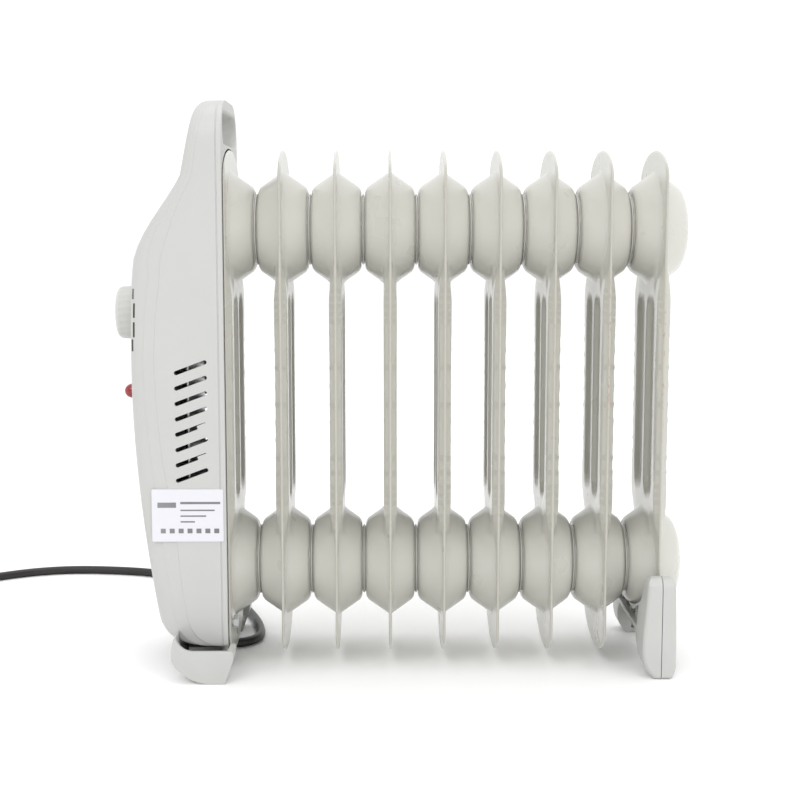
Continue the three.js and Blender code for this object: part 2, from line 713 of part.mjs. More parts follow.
// Pads and web of the rear foot seen from the end, in (Y, Z).
function rearFootArch() {
  const outer = REAR_FOOT_HALF_WIDTH;
  const inner = outer - REAR_PAD_THICKNESS;
  const top = REAR_FOOT_TOP_Z;
  const web = { low: 26, high: 46 };
  const outline = new THREE.Shape();
  outline.moveTo(-outer, 0);
  outline.lineTo(-inner, 0);
  outline.quadraticCurveTo(-inner, web.low, 8 - inner, web.low);
  outline.lineTo(inner - 8, web.low);
  outline.quadraticCurveTo(inner, web.low, inner, 0);
  outline.lineTo(outer, 0);
  outline.lineTo(outer, top - 8);
  outline.quadraticCurveTo(outer, top, outer - 8, top);
  outline.lineTo(outer - 11, top);
  outline.lineTo(inner, web.high);
  outline.lineTo(-inner, web.high);
  outline.lineTo(11 - outer, top);
  outline.lineTo(8 - outer, top);
  outline.quadraticCurveTo(-outer, top, -outer, top - 8);
  return outline;
}

// Rear foot seen from the side, in (X, Z).
function rearFootSide() {
  const [left, right, top] = [REAR_FOOT_LEFT_X, REAR_FOOT_RIGHT_X, REAR_FOOT_TOP_Z];
  return polygon([
    [left + 7.5, 0], [right - 3, 0], [right, 5], [right - 0.3, 35], [right - 1, top - 6],
    [right - 5, top], [left + 5, top], [left + 1.5, top - 5], [left, 24], [left + 1.5, 12],
  ]);
}

function addRearFoot() {
  const lastFinX = FIRST_FIN_X + (FIN_COUNT - 1) * FIN_PITCH;
  const seamX = lastFinX - 0.5;
  const grow = 0.6;
  const chamberRoom = turnedOnX(
    [
      [0, lastFinX - 30], [SHOULDER_RADIUS - 6, lastFinX - 30],
      [SHOULDER_RADIUS + grow, lastFinX - SHOULDER_REACH],
      [CHAMBER_RADIUS + grow, lastFinX], [SHOULDER_RADIUS + grow, lastFinX + SHOULDER_REACH],
      [0, lastFinX + 30],
    ],
    0,
    LOWER_CHAMBER_Z,
  );
  const halfPlate = FIN_THICKNESS / 2 + GAP;
  const plateRoom = block(lastFinX - halfPlate, lastFinX + halfPlate, -49.6, 49.6, 4, 100);
  const holes = [-FOOT_SCREW_Y, FOOT_SCREW_Y].map(
    (y) => rodOnX(SCREW_HOLE_RADIUS, lastFinX - 12, lastFinX + 20, y, FOOT_SCREW_Z, 10),
  );
  const whole = cutFrom(
    alongX(rearFootArch(), REAR_FOOT_LEFT_X, REAR_FOOT_RIGHT_X)
      .intersect(alongY(rearFootSide(), -REAR_FOOT_HALF_WIDTH, REAR_FOOT_HALF_WIDTH)),
    chamberRoom,
    plateRoom,
    ...holes,
  );
  const width = REAR_FOOT_HALF_WIDTH + 1;
  const innerRoom = block(100, seamX - GAP / 2, -width, width, -1, 100);
  const outerRoom = block(seamX + GAP / 2, 200, -width, width, -1, 100);
  addPart('rear_foot_inner_half', whole.intersect(innerRoom), FOOT_PLASTIC);
  addPart('rear_foot_outer_half', whole.intersect(outerRoom), FOOT_PLASTIC);

  [-FOOT_SCREW_Y, FOOT_SCREW_Y].forEach((y, i) => {
    const headX = REAR_FOOT_RIGHT_X + GAP;
    const screw = turnedOnX(
      [
        [0, lastFinX - 11], [SCREW_RADIUS, lastFinX - 11], [SCREW_RADIUS, headX],
        [4, headX], [3.2, headX + 2], [0, headX + 2],
      ],
      y,
      FOOT_SCREW_Z,
      12,
    );
    addPart(`rear_foot_screw_${i + 1}`, screw, ZINC);
  });
}

// ---------------------------------------------------------------- mains lead

// Where the lead lies from the strain relief to the coil.
function cordRoute() {
  return [
    [-129.6, 7.0, 9.1], [-126.0, 8.3, 7.0], [-121.0, 10.1, 4.7], [-115.2, 12.4, CORD_LIE_Z],
    [-106.8, 17.8, CORD_LIE_Z], [-101.8, 27.5, CORD_LIE_Z], [-101.4, 41, CORD_LIE_Z],
    [-104.5, 60, CORD_LIE_Z], [-109.5, 80, CORD_LIE_Z], [-117, 102, CORD_LIE_Z],
    [-128, 127, CORD_LIE_Z], [-143, 154, CORD_LIE_Z], [-162, 181, CORD_LIE_Z],
    [-184, 205, CORD_LIE_Z], [-210, 221.5, CORD_LIE_Z], [-246, 230.5, CORD_LIE_Z],
    [-280, 232, CORD_LIE_Z], [-309, 224.5, CORD_LIE_Z], [-336, 209, CORD_LIE_Z],
    [-367.4, 188.2, CORD_LIE_Z],
  ].map(([x, y, z]) => new THREE.Vector3(x, y, z));
}

// Where it lies from the coil to the plug.
function tailRoute() {
  return [
    [-414.5, 111.5, 10.4], [-414.5, 105, 12.6], [-414.5, 98, 16.2], [-414.5, 91, 18.7],
    [PLUG_REAR.x, PLUG_REAR.y + 2 * GAP, PLUG_REAR.z],
  ].map(([x, y, z]) => new THREE.Vector3(x, y, z));
}

function addCord() {
  const route = cordRoute();
  addPart('power_cord', tube(route, CORD_RADIUS, CORD_STEPS, CORD_SIDES), BLACK_PVC);
  addPart('power_cord_tail', tube(tailRoute(), CORD_RADIUS, 6, CORD_SIDES), BLACK_PVC);

  const halfBand = COIL_TURNS_ACROSS * TURN_PITCH / 2;
  const bottom = TIE_THICKNESS + GAP;
  const top = bottom + COIL_LAYERS * TURN_PITCH;
  const inside = COIL_MIDDLE_RADIUS - halfBand;
  const outside = COIL_MIDDLE_RADIUS + halfBand;
  const ring = turnedOnLine(
    [
      [inside + 2, bottom], [outside - 2, bottom], [outside, bottom + 2], [outside, top - 2],
      [outside - 2, top], [inside + 2, top], [inside, top - 2], [inside, bottom + 2],
      [inside + 2, bottom],
    ],
    COIL_CENTRE,
    new THREE.Vector3(0, 0, 1),
    28,
  );
  addPart('power_cord_coil', ring, BLACK_PVC);

  // A strap round the bundle of turns, open along Y.
  const strap = (wall, halfWidth) => block(
    COIL_CENTRE.x + inside - 3 * GAP - wall, COIL_CENTRE.x + outside + GAP + wall,
    COIL_CENTRE.y - halfWidth, COIL_CENTRE.y + halfWidth,
    bottom - GAP - wall + 0.05, top + GAP + wall,
  );
  addPart('coil_tie', strap(TIE_THICKNESS, TIE_WIDTH / 2).subtract(strap(0, TIE_WIDTH)), TIE_PLASTIC);
}

function addStrainRelief() {
  const relief = turnedOnLine(
    [
      [0, -7], [5.5, -7], [5.5, 3.5],
      [3.9, GLAND_REACH - 1], [3.4, GLAND_REACH], [0, GLAND_REACH],
    ],
    GLAND_WALL_POINT,
    glandDirection(),
    16,
  );
  addPart('cord_strain_relief', relief, BLACK_PVC);
}

// A moulded two pin plug with round pins, lying on its side.
function addPlug() {
  const away = new THREE.Vector3(0, -1, 0);
  const body = turnedOnLine(
    [
      [0, 0], [3.9, 0], [5.6, 22], [8, 23], [11.5, 28], [15, 36], [PLUG_RADIUS, 44],
      [PLUG_RADIUS, 58], [16.8, 60], [0, 60],
    ],
    PLUG_REAR,
    away,
    24,
  );
  const earthSlots = [-1, 1].map((side) => block(
    PLUG_REAR.x - 4, PLUG_REAR.x + 4,
    PLUG_REAR.y - 61, PLUG_REAR.y - 46,
    PLUG_REAR.z + side * 18 - 2.5, PLUG_REAR.z + side * 18 + 2.5,
  ));
  addPart('plug_body', cutFrom(body, ...earthSlots), BLACK_PVC);
  [-1, 1].forEach((side, i) => {
    const pin = turnedOnLine(
      [[0, 60 + GAP], [2.4, 60 + GAP], [2.4, 77.5], [1.4, 79], [0, 79]],
      new THREE.Vector3(PLUG_REAR.x + side * 9.5, PLUG_REAR.y, PLUG_REAR.z),
      away,
      12,
    );
    addPart(`plug_pin_${i + 1}`, pin, ZINC);
  });
}

// Inner leads, each from one connection to the next.
function addInnerLeads() {
  const lead = (name, points, look) => {
    const path = points.map(([x, y, z]) => new THREE.Vector3(x, y, z));
    addPart(name, tube(path, 1.3, 10, 6), look);
  };
  lead('live_lead', [
    [-156.4, 10, 108], [-161, 14, 114], [-163, 26, 170], [-161, 16, 208], [-162, 9, 221.6],
  ], WIRE_BROWN);
  lead('neutral_lead', [
    [-156.4, -10, 108], [-161, -12, 103], [-163, -12, 82], [-154.6, -8, 63.7],
  ], WIRE_BLUE);
  lead('earth_lead', [
    [-156.4, 18, 108], [-161, 20, 103], [-160, 27, 70], [-149.6, 28, 50],
  ], WIRE_EARTH);
}

addFins();
addFillerPlug();
addHeatingElement();
addControlBox();
addMountingPlate();
addRatingLabel();
addKnob();
addThermostat();
addLamp();
addElectricalParts();
addFrontFoot();
addRearFoot();
addCord();
addStrainRelief();
addPlug();
addInnerLeads();

export default heater;
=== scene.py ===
"""Looks of the oil filled radiator heater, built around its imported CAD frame.

Shapes are worked out in millimetres in the frame's axes: +X from the control box to the last
fin, +Y away from the camera, +Z up. add_piece() turns them into metres.
"""
import math

import bmesh
import bpy
from mathutils import Euler, Matrix, Vector
from mathutils.geometry import delaunay_2d_cdt


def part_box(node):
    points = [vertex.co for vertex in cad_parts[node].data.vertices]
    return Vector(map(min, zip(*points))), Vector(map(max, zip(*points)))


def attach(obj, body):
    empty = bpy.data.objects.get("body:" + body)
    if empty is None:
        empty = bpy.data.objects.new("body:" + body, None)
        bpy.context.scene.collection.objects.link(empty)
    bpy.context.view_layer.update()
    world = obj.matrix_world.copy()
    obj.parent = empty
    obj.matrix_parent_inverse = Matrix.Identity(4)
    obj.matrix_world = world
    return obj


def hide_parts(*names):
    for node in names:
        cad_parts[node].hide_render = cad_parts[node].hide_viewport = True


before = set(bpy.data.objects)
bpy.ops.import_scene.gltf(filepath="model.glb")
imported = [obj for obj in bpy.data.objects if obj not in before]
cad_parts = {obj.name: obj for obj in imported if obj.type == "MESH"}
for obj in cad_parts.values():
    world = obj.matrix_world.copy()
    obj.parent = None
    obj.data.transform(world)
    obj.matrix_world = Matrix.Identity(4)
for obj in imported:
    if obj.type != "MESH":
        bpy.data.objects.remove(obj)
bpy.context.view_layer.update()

MM = 0.001


def box_mm(node):
    """Lowest and highest corner of a CAD node, in millimetres."""
    low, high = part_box(node)
    return low / MM, high / MM


def put(name, data):
    """A new object in the scene."""
    made = bpy.data.objects.new(name, data)
    bpy.context.scene.collection.objects.link(made)
    return made


# ---- camera

CAMERA_PLACE = (-0.013, -1.018, 0.308)
CAMERA_YAW = math.radians(0.727)
CAMERA_DIP = math.radians(7.21)
CAMERA_LENS = 66.83


def add_camera():
    data = bpy.data.cameras.new("camera")
    data.lens = CAMERA_LENS
    data.sensor_width = 36
    data.clip_end = 50
    camera = put("camera", data)
    camera.location = CAMERA_PLACE
    camera.rotation_euler = Euler((math.pi / 2 - CAMERA_DIP, 0, -CAMERA_YAW))
    bpy.context.scene.camera = camera


add_camera()


# ---- materials

def start_material(name, colour, roughness, more=None):
    """A node material and its shader. more holds further sockets and their values."""
    material = bpy.data.materials.new(name)
    material.use_nodes = True
    shader = material.node_tree.nodes["Principled BSDF"]
    values = {"Base Color": (*colour, 1), "Roughness": roughness, **(more or {})}
    for socket, value in values.items():
        shader.inputs[socket].default_value = value
    return material, shader


def node(material, kind, inputs=None, **settings):
    made = material.node_tree.nodes.new(kind)
    for key, value in settings.items():
        setattr(made, key, value)
    for key, value in (inputs or {}).items():
        if isinstance(value, bpy.types.NodeSocket):
            material.node_tree.links.new(value, made.inputs[key])
        else:
            made.inputs[key].default_value = value
    return made


def place(material):
    """The point on the object, in metres."""
    return node(material, "ShaderNodeNewGeometry").outputs["Position"]


def noise(material, scale, detail, stretch=None):
    vector = place(material)
    if stretch:
        scaled = node(material, "ShaderNodeVectorMath", {0: vector, 1: stretch}, operation="MULTIPLY")
        vector = scaled.outputs[0]
    made = node(material, "ShaderNodeTexNoise", {"Vector": vector, "Scale": scale, "Detail": detail})
    return made.outputs["Fac"]


def ramp(material, factor, stops):
    """A colour or grey for each factor; stops are (position, colour)."""
    made = node(material, "ShaderNodeValToRGB", {"Fac": factor})
    elements = made.color_ramp.elements
    while len(elements) < len(stops):
        elements.new(0.5)
    for element, (position, colour) in zip(elements, stops):
        element.position = position
        element.color = (*colour, 1)
    return made.outputs["Color"]


def patchy(material, scale, detail, first, second):
    """Patches that run from one colour to another."""
    return ramp(material, noise(material, scale, detail), [(0.3, first), (0.7, second)])


def grey(value):
    return (value, value, value)


def math_node(material, operation, *values):
    return node(material, "ShaderNodeMath", dict(enumerate(values)), operation=operation).outputs[0]


def product(material, first, *others):
    for other in others:
        first = math_node(material, "MULTIPLY", first, other)
    return first


def eased(material, value, low, high, most=1.0):
    """From nothing up to most while the value goes from low to high."""
    inputs = {"Value": value, "From Min": low, "From Max": high, "To Max": most}
    made = node(material, "ShaderNodeMapRange", inputs, interpolation_type="SMOOTHSTEP")
    return made.outputs["Result"]


def mix_colour(material, factor, first, second):
    """Mixes a colour socket with a plain colour."""
    made = node(material, "ShaderNodeMix", data_type="RGBA")
    by_name = {s.name: s for s in made.inputs if s.enabled}
    material.node_tree.links.new(factor, by_name["Factor"])
    material.node_tree.links.new(first, by_name["A"])
    by_name["B"].default_value = (*second, 1)
    return next(o for o in made.outputs if o.enabled)


def use_bump(material, shader, height, strength, distance):
    inputs = {"Height": height, "Strength": strength, "Distance": distance}
    bump = node(material, "ShaderNodeBump", inputs)
    material.node_tree.links.new(bump.outputs["Normal"], shader.inputs["Normal"])


def use(material, shader, socket, value):
    material.node_tree.links.new(value, shader.inputs[socket])


def varied(colour, change):
    return tuple(max(0.0, min(1.0, c * change)) for c in colour)


GLOSS_SPREAD = 0.05


def plain_material(name, colour, roughness, spread=0.04, grain=1200, depth=0.00004, patches=28):
    """Moulded, cast or drawn stuff: patchy colour and gloss over a fine surface grain."""
    material, shader = start_material(name, colour, roughness)
    tone = patchy(material, patches, 4, varied(colour, 1 - spread), varied(colour, 1 + spread))
    use(material, shader, "Base Color", tone)
    fine = noise(material, grain, 2)
    gloss = [(0.25, grey(roughness - GLOSS_SPREAD)), (0.75, grey(roughness + GLOSS_SPREAD))]
    use(material, shader, "Roughness", ramp(material, noise(material, patches * 3, 3), gloss))
    use_bump(material, shader, fine, 0.35, depth)
    return material


STEEL_COLOUR = (0.565, 0.560, 0.515)
# The colour of the painted shade, with an aged tint, at the fin edges.
EDGE_SHADE_AND_AGE_COLOUR = (0.428, 0.419, 0.368)
RUST_COLOUR = (0.37, 0.17, 0.08)
# Where painted shade with an aged tint darkens the enamel towards the fin edges, and where rust starts
# and stops, in metres.
EDGE_SHADE_FROM_TO_Y = (0.039, 0.047)
FIN_EDGE_Y = 0.0480
RUST_STARTS_Z = (0.14, 0.20)
RUST_STOPS_Z = (0.29, 0.23)
EDGE_SHADE_SHARE = 0.72
SPECK_SHARE = 0.5
BLUSH_SHARE = 0.05


def painted_steel():
    """Glossy warm white enamel, darkened and warmed towards the fin edges by painted shade with an
    aged tint, and with rust breaking through along the welded fin edges.
    """
    coat = {"Coat Weight": 0.35, "Coat Roughness": 0.12}
    material, shader = start_material("painted_steel", STEEL_COLOUR, 0.3, coat)
    tone = patchy(material, 14, 4, varied(STEEL_COLOUR, 0.985), varied(STEEL_COLOUR, 1.01))
    split = node(material, "ShaderNodeSeparateXYZ", {"Vector": place(material)})
    side = math_node(material, "ABSOLUTE", split.outputs["Y"])
    # Painted shade with an aged tint: the enamel turns darker and warmer towards the fin edges.
    edge_shade_and_age = eased(material, side, *EDGE_SHADE_FROM_TO_Y, EDGE_SHADE_SHARE)
    tone = mix_colour(material, edge_shade_and_age, tone, EDGE_SHADE_AND_AGE_COLOUR)
    height = split.outputs["Z"]
    some_fins = ramp(material, noise(material, 9, 0, (1, 0.2, 0.2)), [(0.42, grey(0)), (0.6, grey(1))])
    rusty = product(
        material, math_node(material, "GREATER_THAN", side, FIN_EDGE_Y),
        eased(material, height, *RUST_STARTS_Z), eased(material, height, *RUST_STOPS_Z), some_fins,
    )
    specks = ramp(material, noise(material, 620, 2, (1, 1, 0.45)), [(0.57, grey(0)), (0.64, grey(1))])
    speckled = product(material, rusty, specks, SPECK_SHARE)
    amount = math_node(material, "MAXIMUM", speckled, product(material, rusty, BLUSH_SHARE))
    use(material, shader, "Base Color", mix_colour(material, amount, tone, RUST_COLOUR))
    use(material, shader, "Roughness", patchy(material, 40, 2, grey(0.27), grey(0.31)))
    orange_peel = noise(material, 260, 2)
    use_bump(material, shader, orange_peel, 0.12, 0.00008)
    return material


def metal(name, colour, roughness, grain):
    """Plated or drawn metal with fine brushing along one axis."""
    material, shader = start_material(name, colour, roughness, {"Metallic": 1.0})
    tarnish = patchy(material, 90, 4, varied(colour, 0.8), varied(colour, 1.08))
    use(material, shader, "Base Color", tarnish)
    brushing = noise(material, 1500, 2, grain)
    gloss = [(0.3, grey(roughness * 0.75)), (0.7, grey(roughness * 1.3))]
    use(material, shader, "Roughness", ramp(material, brushing, gloss))
    use_bump(material, shader, brushing, 0.25, 0.00003)
    return material


def red_lens():
    glassy = {"Transmission Weight": 0.15, "Coat Weight": 0.4, "Coat Roughness": 0.05}
    material, shader = start_material("red_lens", (0.30, 0.008, 0.012), 0.12, glassy)
    facets = node(material, "ShaderNodeTexVoronoi", {"Vector": place(material), "Scale": 900})
    use_bump(material, shader, facets.outputs["Distance"], 0.25, 0.0002)
    tone = patchy(material, 400, 2, (0.25, 0.006, 0.010), (0.40, 0.018, 0.024))
    use(material, shader, "Base Color", tone)
    return material


# Colour and roughness of each plain material, and what differs from the usual.
PLAIN = {
    "box_plastic": ((0.485, 0.487, 0.474), 0.42, {"spread": 0.012, "grain": 2600, "depth": 0.00003}),
    "foot_plastic": ((0.480, 0.482, 0.468), 0.42, {"spread": 0.015, "grain": 2200}),
    "knob_plastic": ((0.54, 0.54, 0.52), 0.45, {"spread": 0.015, "grain": 2400, "depth": 0.00003}),
    "black_pvc": ((0.014, 0.012, 0.0115), 0.42, {"spread": 0.2, "grain": 1500, "depth": 0.00006}),
    "tie_plastic": ((0.02, 0.02, 0.02), 0.35, {"spread": 0.1}),
    "phenolic": ((0.024, 0.018, 0.015), 0.5, {"spread": 0.15}),
    "ceramic": ((0.78, 0.75, 0.68), 0.65, {"spread": 0.05, "depth": 0.0001}),
    "label_film": ((0.66, 0.66, 0.70), 0.5, {"spread": 0.01, "grain": 3000}),
    "label_ink": ((0.20, 0.20, 0.21), 0.55, {"spread": 0.25, "grain": 3000}),
    "brown_lead": ((0.105, 0.042, 0.018), 0.5, {"spread": 0.1}),
    "blue_lead": ((0.02, 0.08, 0.28), 0.5, {"spread": 0.1}),
    "green_lead": ((0.16, 0.27, 0.022), 0.5, {"spread": 0.1}),
}
MATERIALS = {
    name: plain_material(name, colour, roughness, **changes)
    for name, (colour, roughness, changes) in PLAIN.items()
}
MATERIALS["painted_steel"] = painted_steel()
MATERIALS["zinc_steel"] = metal("zinc_steel", (0.62, 0.63, 0.64), 0.34, (1, 1, 0.1))
MATERIALS["stainless"] = metal("stainless", (0.45, 0.45, 0.45), 0.38, (0.1, 1, 1))
MATERIALS["brass"] = metal("brass", (0.62, 0.42, 0.16), 0.34, (1, 0.2, 1))
MATERIALS["red_lens"] = red_lens()

# ---- pieces

SMOOTH_ANGLE = math.radians(32)


def add_piece(name, points, faces, slot, smooth_angle=SMOOTH_ANGLE):
    """A mesh piece from points in millimetres."""
    mesh = bpy.data.meshes.new(name)
    mesh.from_pydata([Vector(p) * MM for p in points], [], faces)
    piece = put(name, mesh)
    finish_mesh(mesh, slot, smooth_angle)
    return piece


def finish_mesh(mesh, slot, smooth_angle=SMOOTH_ANGLE):
    """Outward faces, smooth shading with sharp edges past an angle, and the slot's material."""
    tidy = bmesh.new()
    tidy.from_mesh(mesh)
    bmesh.ops.remove_doubles(tidy, verts=tidy.verts, dist=1e-7)
    bmesh.ops.recalc_face_normals(tidy, faces=tidy.faces)
    tidy.to_mesh(mesh)
    tidy.free()
    mesh.shade_smooth()
    mesh.set_sharp_from_angle(angle=smooth_angle)
    mesh.materials.clear()
    mesh.materials.append(MATERIALS[slot])


def settle(piece, slot, *nodes, body="heater"):
    """The piece rides on its body and stands for its CAD nodes. Its slot is not used."""
    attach(piece, body)
    if nodes:
        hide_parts(*nodes)
    return piece


def add_settled(name, shape, slot, *nodes, body="heater"):
    return settle(add_piece(name, *shape, slot), slot, *nodes, body=body)


def loft(rings, closed_ends=True):
    """Points and faces of a solid through rings that hold the same number of points."""
    count = len(rings[0])
    points = [p for ring in rings for p in ring]
    faces = []
    for i in range(len(rings) - 1):
        for j in range(count):
            k = (j + 1) % count
            faces.append((i * count + j, i * count + k, (i + 1) * count + k, (i + 1) * count + j))
    if closed_ends:
        faces.append(tuple(reversed(range(count))))
        faces.append(tuple(range((len(rings) - 1) * count, len(rings) * count)))
    return points, faces


def turned(profile, start, segments=48, wobble=None, axis=(1, 0, 0)):
    """Points and faces of a turned body. profile is (radius, along) from one end to the other;
    wobble(angle, radius, along) gives a changed radius."""
    axis = Vector(axis).normalized()
    side = axis.orthogonal().normalized()
    other = axis.cross(side)
    rings = []
    for radius, along in profile:
        ring = []
        for i in range(segments):
            angle = 2 * math.pi * i / segments
            r = wobble(angle, radius, along) if wobble else radius
            out = side * math.cos(angle) + other * math.sin(angle)
            ring.append(Vector(start) + axis * along + out * r)
        rings.append(ring)
    return loft(rings)


def prism_along(outline, axis, low, high):
    """A prism between two places on an axis. outline holds pairs in the other two axes."""
    def at(pair, along):
        u, v = pair
        return {"X": (along, u, v), "Y": (u, along, v), "Z": (u, v, along)}[axis]
    return loft([[at(p, low) for p in outline], [at(p, high) for p in outline]])


def block(x0, x1, y0, y1, z0, z1):
    return prism_along([(x0, y0), (x1, y0), (x1, y1), (x0, y1)], "Z", z0, z1)


def merged(*shapes):
    """Several closed shapes as one list of points and faces."""
    points, faces = [], []
    for shape_points, shape_faces in shapes:
        shift = len(points)
        points.extend(shape_points)
        faces.extend(tuple(i + shift for i in face) for face in shape_faces)
    return points, faces


def combine(piece, operation, *shapes):
    """Cuts shapes out of a piece, adds them, or keeps what they share."""
    tool = add_piece("tool", *merged(*shapes), slot_of(piece))
    modifier = piece.modifiers.new("combine", "BOOLEAN")
    modifier.object = tool
    modifier.operation = operation
    modifier.solver = "EXACT"
    apply_modifiers(piece)
    bpy.data.objects.remove(tool)


def slot_of(piece):
    used = piece.data.materials[0]
    return next(slot for slot, material in MATERIALS.items() if material == used)


def apply_modifiers(piece):
    slot = slot_of(piece)
    graph = bpy.context.evaluated_depsgraph_get()
    mesh = bpy.data.meshes.new_from_object(piece.evaluated_get(graph))
    piece.modifiers.clear()
    piece.data = mesh
    finish_mesh(mesh, slot)


def smooth_step(low, high, value):
    t = max(0.0, min(1.0, (value - low) / (high - low)))
    return t * t * (3 - 2 * t)


def between(table, value):
    """Straight-line interpolation in a list of (place, value) pairs in rising order."""
    if value <= table[0][0]:
        return table[0][1]
    for (a, first), (b, second) in zip(table, table[1:]):
        if value <= b:
            return first + (second - first) * (value - a) / (b - a)
    return table[-1][1]


def round_rectangle(x0, x1, z0, z1, radius, steps):
    """Its outline as (x, z), from the low end of the right-hand side."""
    corners = ((x1 - radius, z0 + radius, -90), (x1 - radius, z1 - radius, 0),
               (x0 + radius, z1 - radius, 90), (x0 + radius, z0 + radius, 180))
    outline = []
    for x, z, turn in corners:
        for i in range(steps + 1):
            a = math.radians(turn + 90 * i / steps)
            outline.append((x + radius * math.cos(a), z + radius * math.sin(a)))
    return outline


def quarter(steps):
    """Angles from nothing to a right angle, both included."""
    return [math.pi / 2 * i / steps for i in range(steps + 1)]


def bezier(points, steps):
    """Points along a cubic curve, without its first one."""
    a, b, c, d = (Vector(p) for p in points)
    made = []
    for i in range(1, steps + 1):
        t = i / steps
        u = 1 - t
        made.append(a * u**3 + b * 3 * u * u * t + c * 3 * u * t * t + d * t**3)
    return made


def trace(start, *moves):
    """Points along a line. Each move is a point, or the two guides, end and steps of a curve."""
    path = [Vector(start)]
    for move in moves:
        if len(move) == 4:
            *guides, end, steps = move
            path += bezier([path[-1], *guides, end], steps)
        else:
            path.append(Vector(move))
    return path


# ---- mains lead

CORD_DIAMETER = 6.5
CORD_LIE_Z = 3.4
COIL_CENTRE = (-372.0, 138.0)
COIL_OUTER = 42.6
COIL_INNER = 29.4
COIL_LOW_Z = 4.3
COIL_HIGH_Z = 10.95
ARRIVAL_HEADING = math.radians(205)
LOW_TURNS = 2 * 2 * math.pi
CLIMB = math.radians(75)
LEAVING_HEADING = math.radians(270 + 4 * 360)
TURN_POINTS = 16

FLOOR_ROUTE = [
    (-115.2, 12.4), (-106.8, 17.8), (-101.8, 27.5), (-101.4, 41), (-104.5, 60), (-109.5, 80),
    (-117, 102), (-128, 127), (-143, 154), (-162, 181), (-184, 205), (-210, 221.5), (-246, 230.5),
    (-280, 232), (-309, 224.5), (-336, 209), (-367.4, 188.2),
]
CORD_ROUTE = [(-129.6, 7.0, 9.1), (-126.0, 8.3, 7.0), (-121.0, 10.1, 4.7)]
CORD_ROUTE += [(x, y, CORD_LIE_Z) for x, y in FLOOR_ROUTE]
CORD_TAIL = [
    (-414.5, 124, 10.9), (-414.5, 111.5, 10.9), (-414.5, 105, 12.6), (-414.5, 98, 16.2),
    (-414.5, 91, 18.7), (-414.5, 84.6, 18.8),
]


def coil_route():
    """Two layers of turns: inwards along the floor, a climb, and outwards on top."""
    total = LEAVING_HEADING - ARRIVAL_HEADING
    count = round(total / (2 * math.pi) * TURN_POINTS)
    top_start = ARRIVAL_HEADING + LOW_TURNS + CLIMB
    made = []
    for i in range(count + 1):
        heading = ARRIVAL_HEADING + total * i / count
        wound = (heading - ARRIVAL_HEADING) / LOW_TURNS
        if heading < top_start:
            radius = COIL_OUTER + (COIL_INNER - COIL_OUTER) * min(1.0, wound)
        else:
            share = (heading - top_start) / (LEAVING_HEADING - top_start)
            radius = COIL_INNER + (COIL_OUTER - COIL_INNER) * share
        lift = smooth_step(ARRIVAL_HEADING + LOW_TURNS, top_start, heading)
        made.append((
            COIL_CENTRE[0] + radius * math.sin(heading),
            COIL_CENTRE[1] - radius * math.cos(heading),
            COIL_LOW_Z + (COIL_HIGH_Z - COIL_LOW_Z) * lift,
        ))
    return made


def add_cord():
    """The whole lead as one curve. Returns the piece and its length in metres."""
    points = [Vector(p) * MM for p in [*CORD_ROUTE, *coil_route(), *CORD_TAIL]]
    data = bpy.data.curves.new("power_lead", "CURVE")
    data.dimensions = "3D"
    data.bevel_depth = CORD_DIAMETER / 2 * MM
    data.bevel_resolution = 5
    data.resolution_u = 8
    data.use_fill_caps = True
    spline = data.splines.new("BEZIER")
    spline.bezier_points.add(len(points) - 1)
    for i, (knot, point) in enumerate(zip(spline.bezier_points, points)):
        before = points[max(0, i - 1)]
        after = points[min(len(points) - 1, i + 1)]
        along = (after - before).normalized()
        knot.co = point
        knot.handle_left_type = "FREE"
        knot.handle_right_type = "FREE"
        knot.handle_left = point - along * (point - before).length / 3
        knot.handle_right = point + along * (after - point).length / 3
    data.materials.append(MATERIALS["black_pvc"])
    piece = put("power_lead", data)
    settle(piece, "black_pvc", "power_cord", "power_cord_tail", "power_cord_coil")
    return piece, spline.calc_length()


GLAND_POINT = Vector((-152, -1.2, 22.4))
GLAND_HEADING = math.radians(20)
GLAND_DIP = math.radians(30)
GLAND_REACH = 26


def add_strain_relief():
    """A tapered sleeve with rings, pointing the way the lead leaves the box."""
    direction = Vector((
        math.cos(GLAND_DIP) * math.cos(GLAND_HEADING),
        math.cos(GLAND_DIP) * math.sin(GLAND_HEADING),
        -math.sin(GLAND_DIP),
    ))
    profile = [(0.01, -6), (5.3, -6), (5.5, -5.5), (5.5, 3.0)]
    rings = 6
    for i in range(rings):
        start = 3.4 + i * (GLAND_REACH - 5.5) / rings
        end = start + (GLAND_REACH - 5.5) / rings
        outer = between([(3, 5.4), (GLAND_REACH, 3.9)], start)
        profile += [(outer, start + 0.2), (outer, end - 1.3), (outer - 0.7, end - 1.1),
                    (outer - 0.7, end - 0.2)]
    profile += [(3.9, GLAND_REACH - 2), (3.6, GLAND_REACH - 0.3), (3.3, GLAND_REACH)]
    profile.append((0.01, GLAND_REACH))
    sleeve = turned(profile, GLAND_POINT, axis=direction)
    return add_settled("strain_relief_sleeve", sleeve, "black_pvc", "cord_strain_relief")


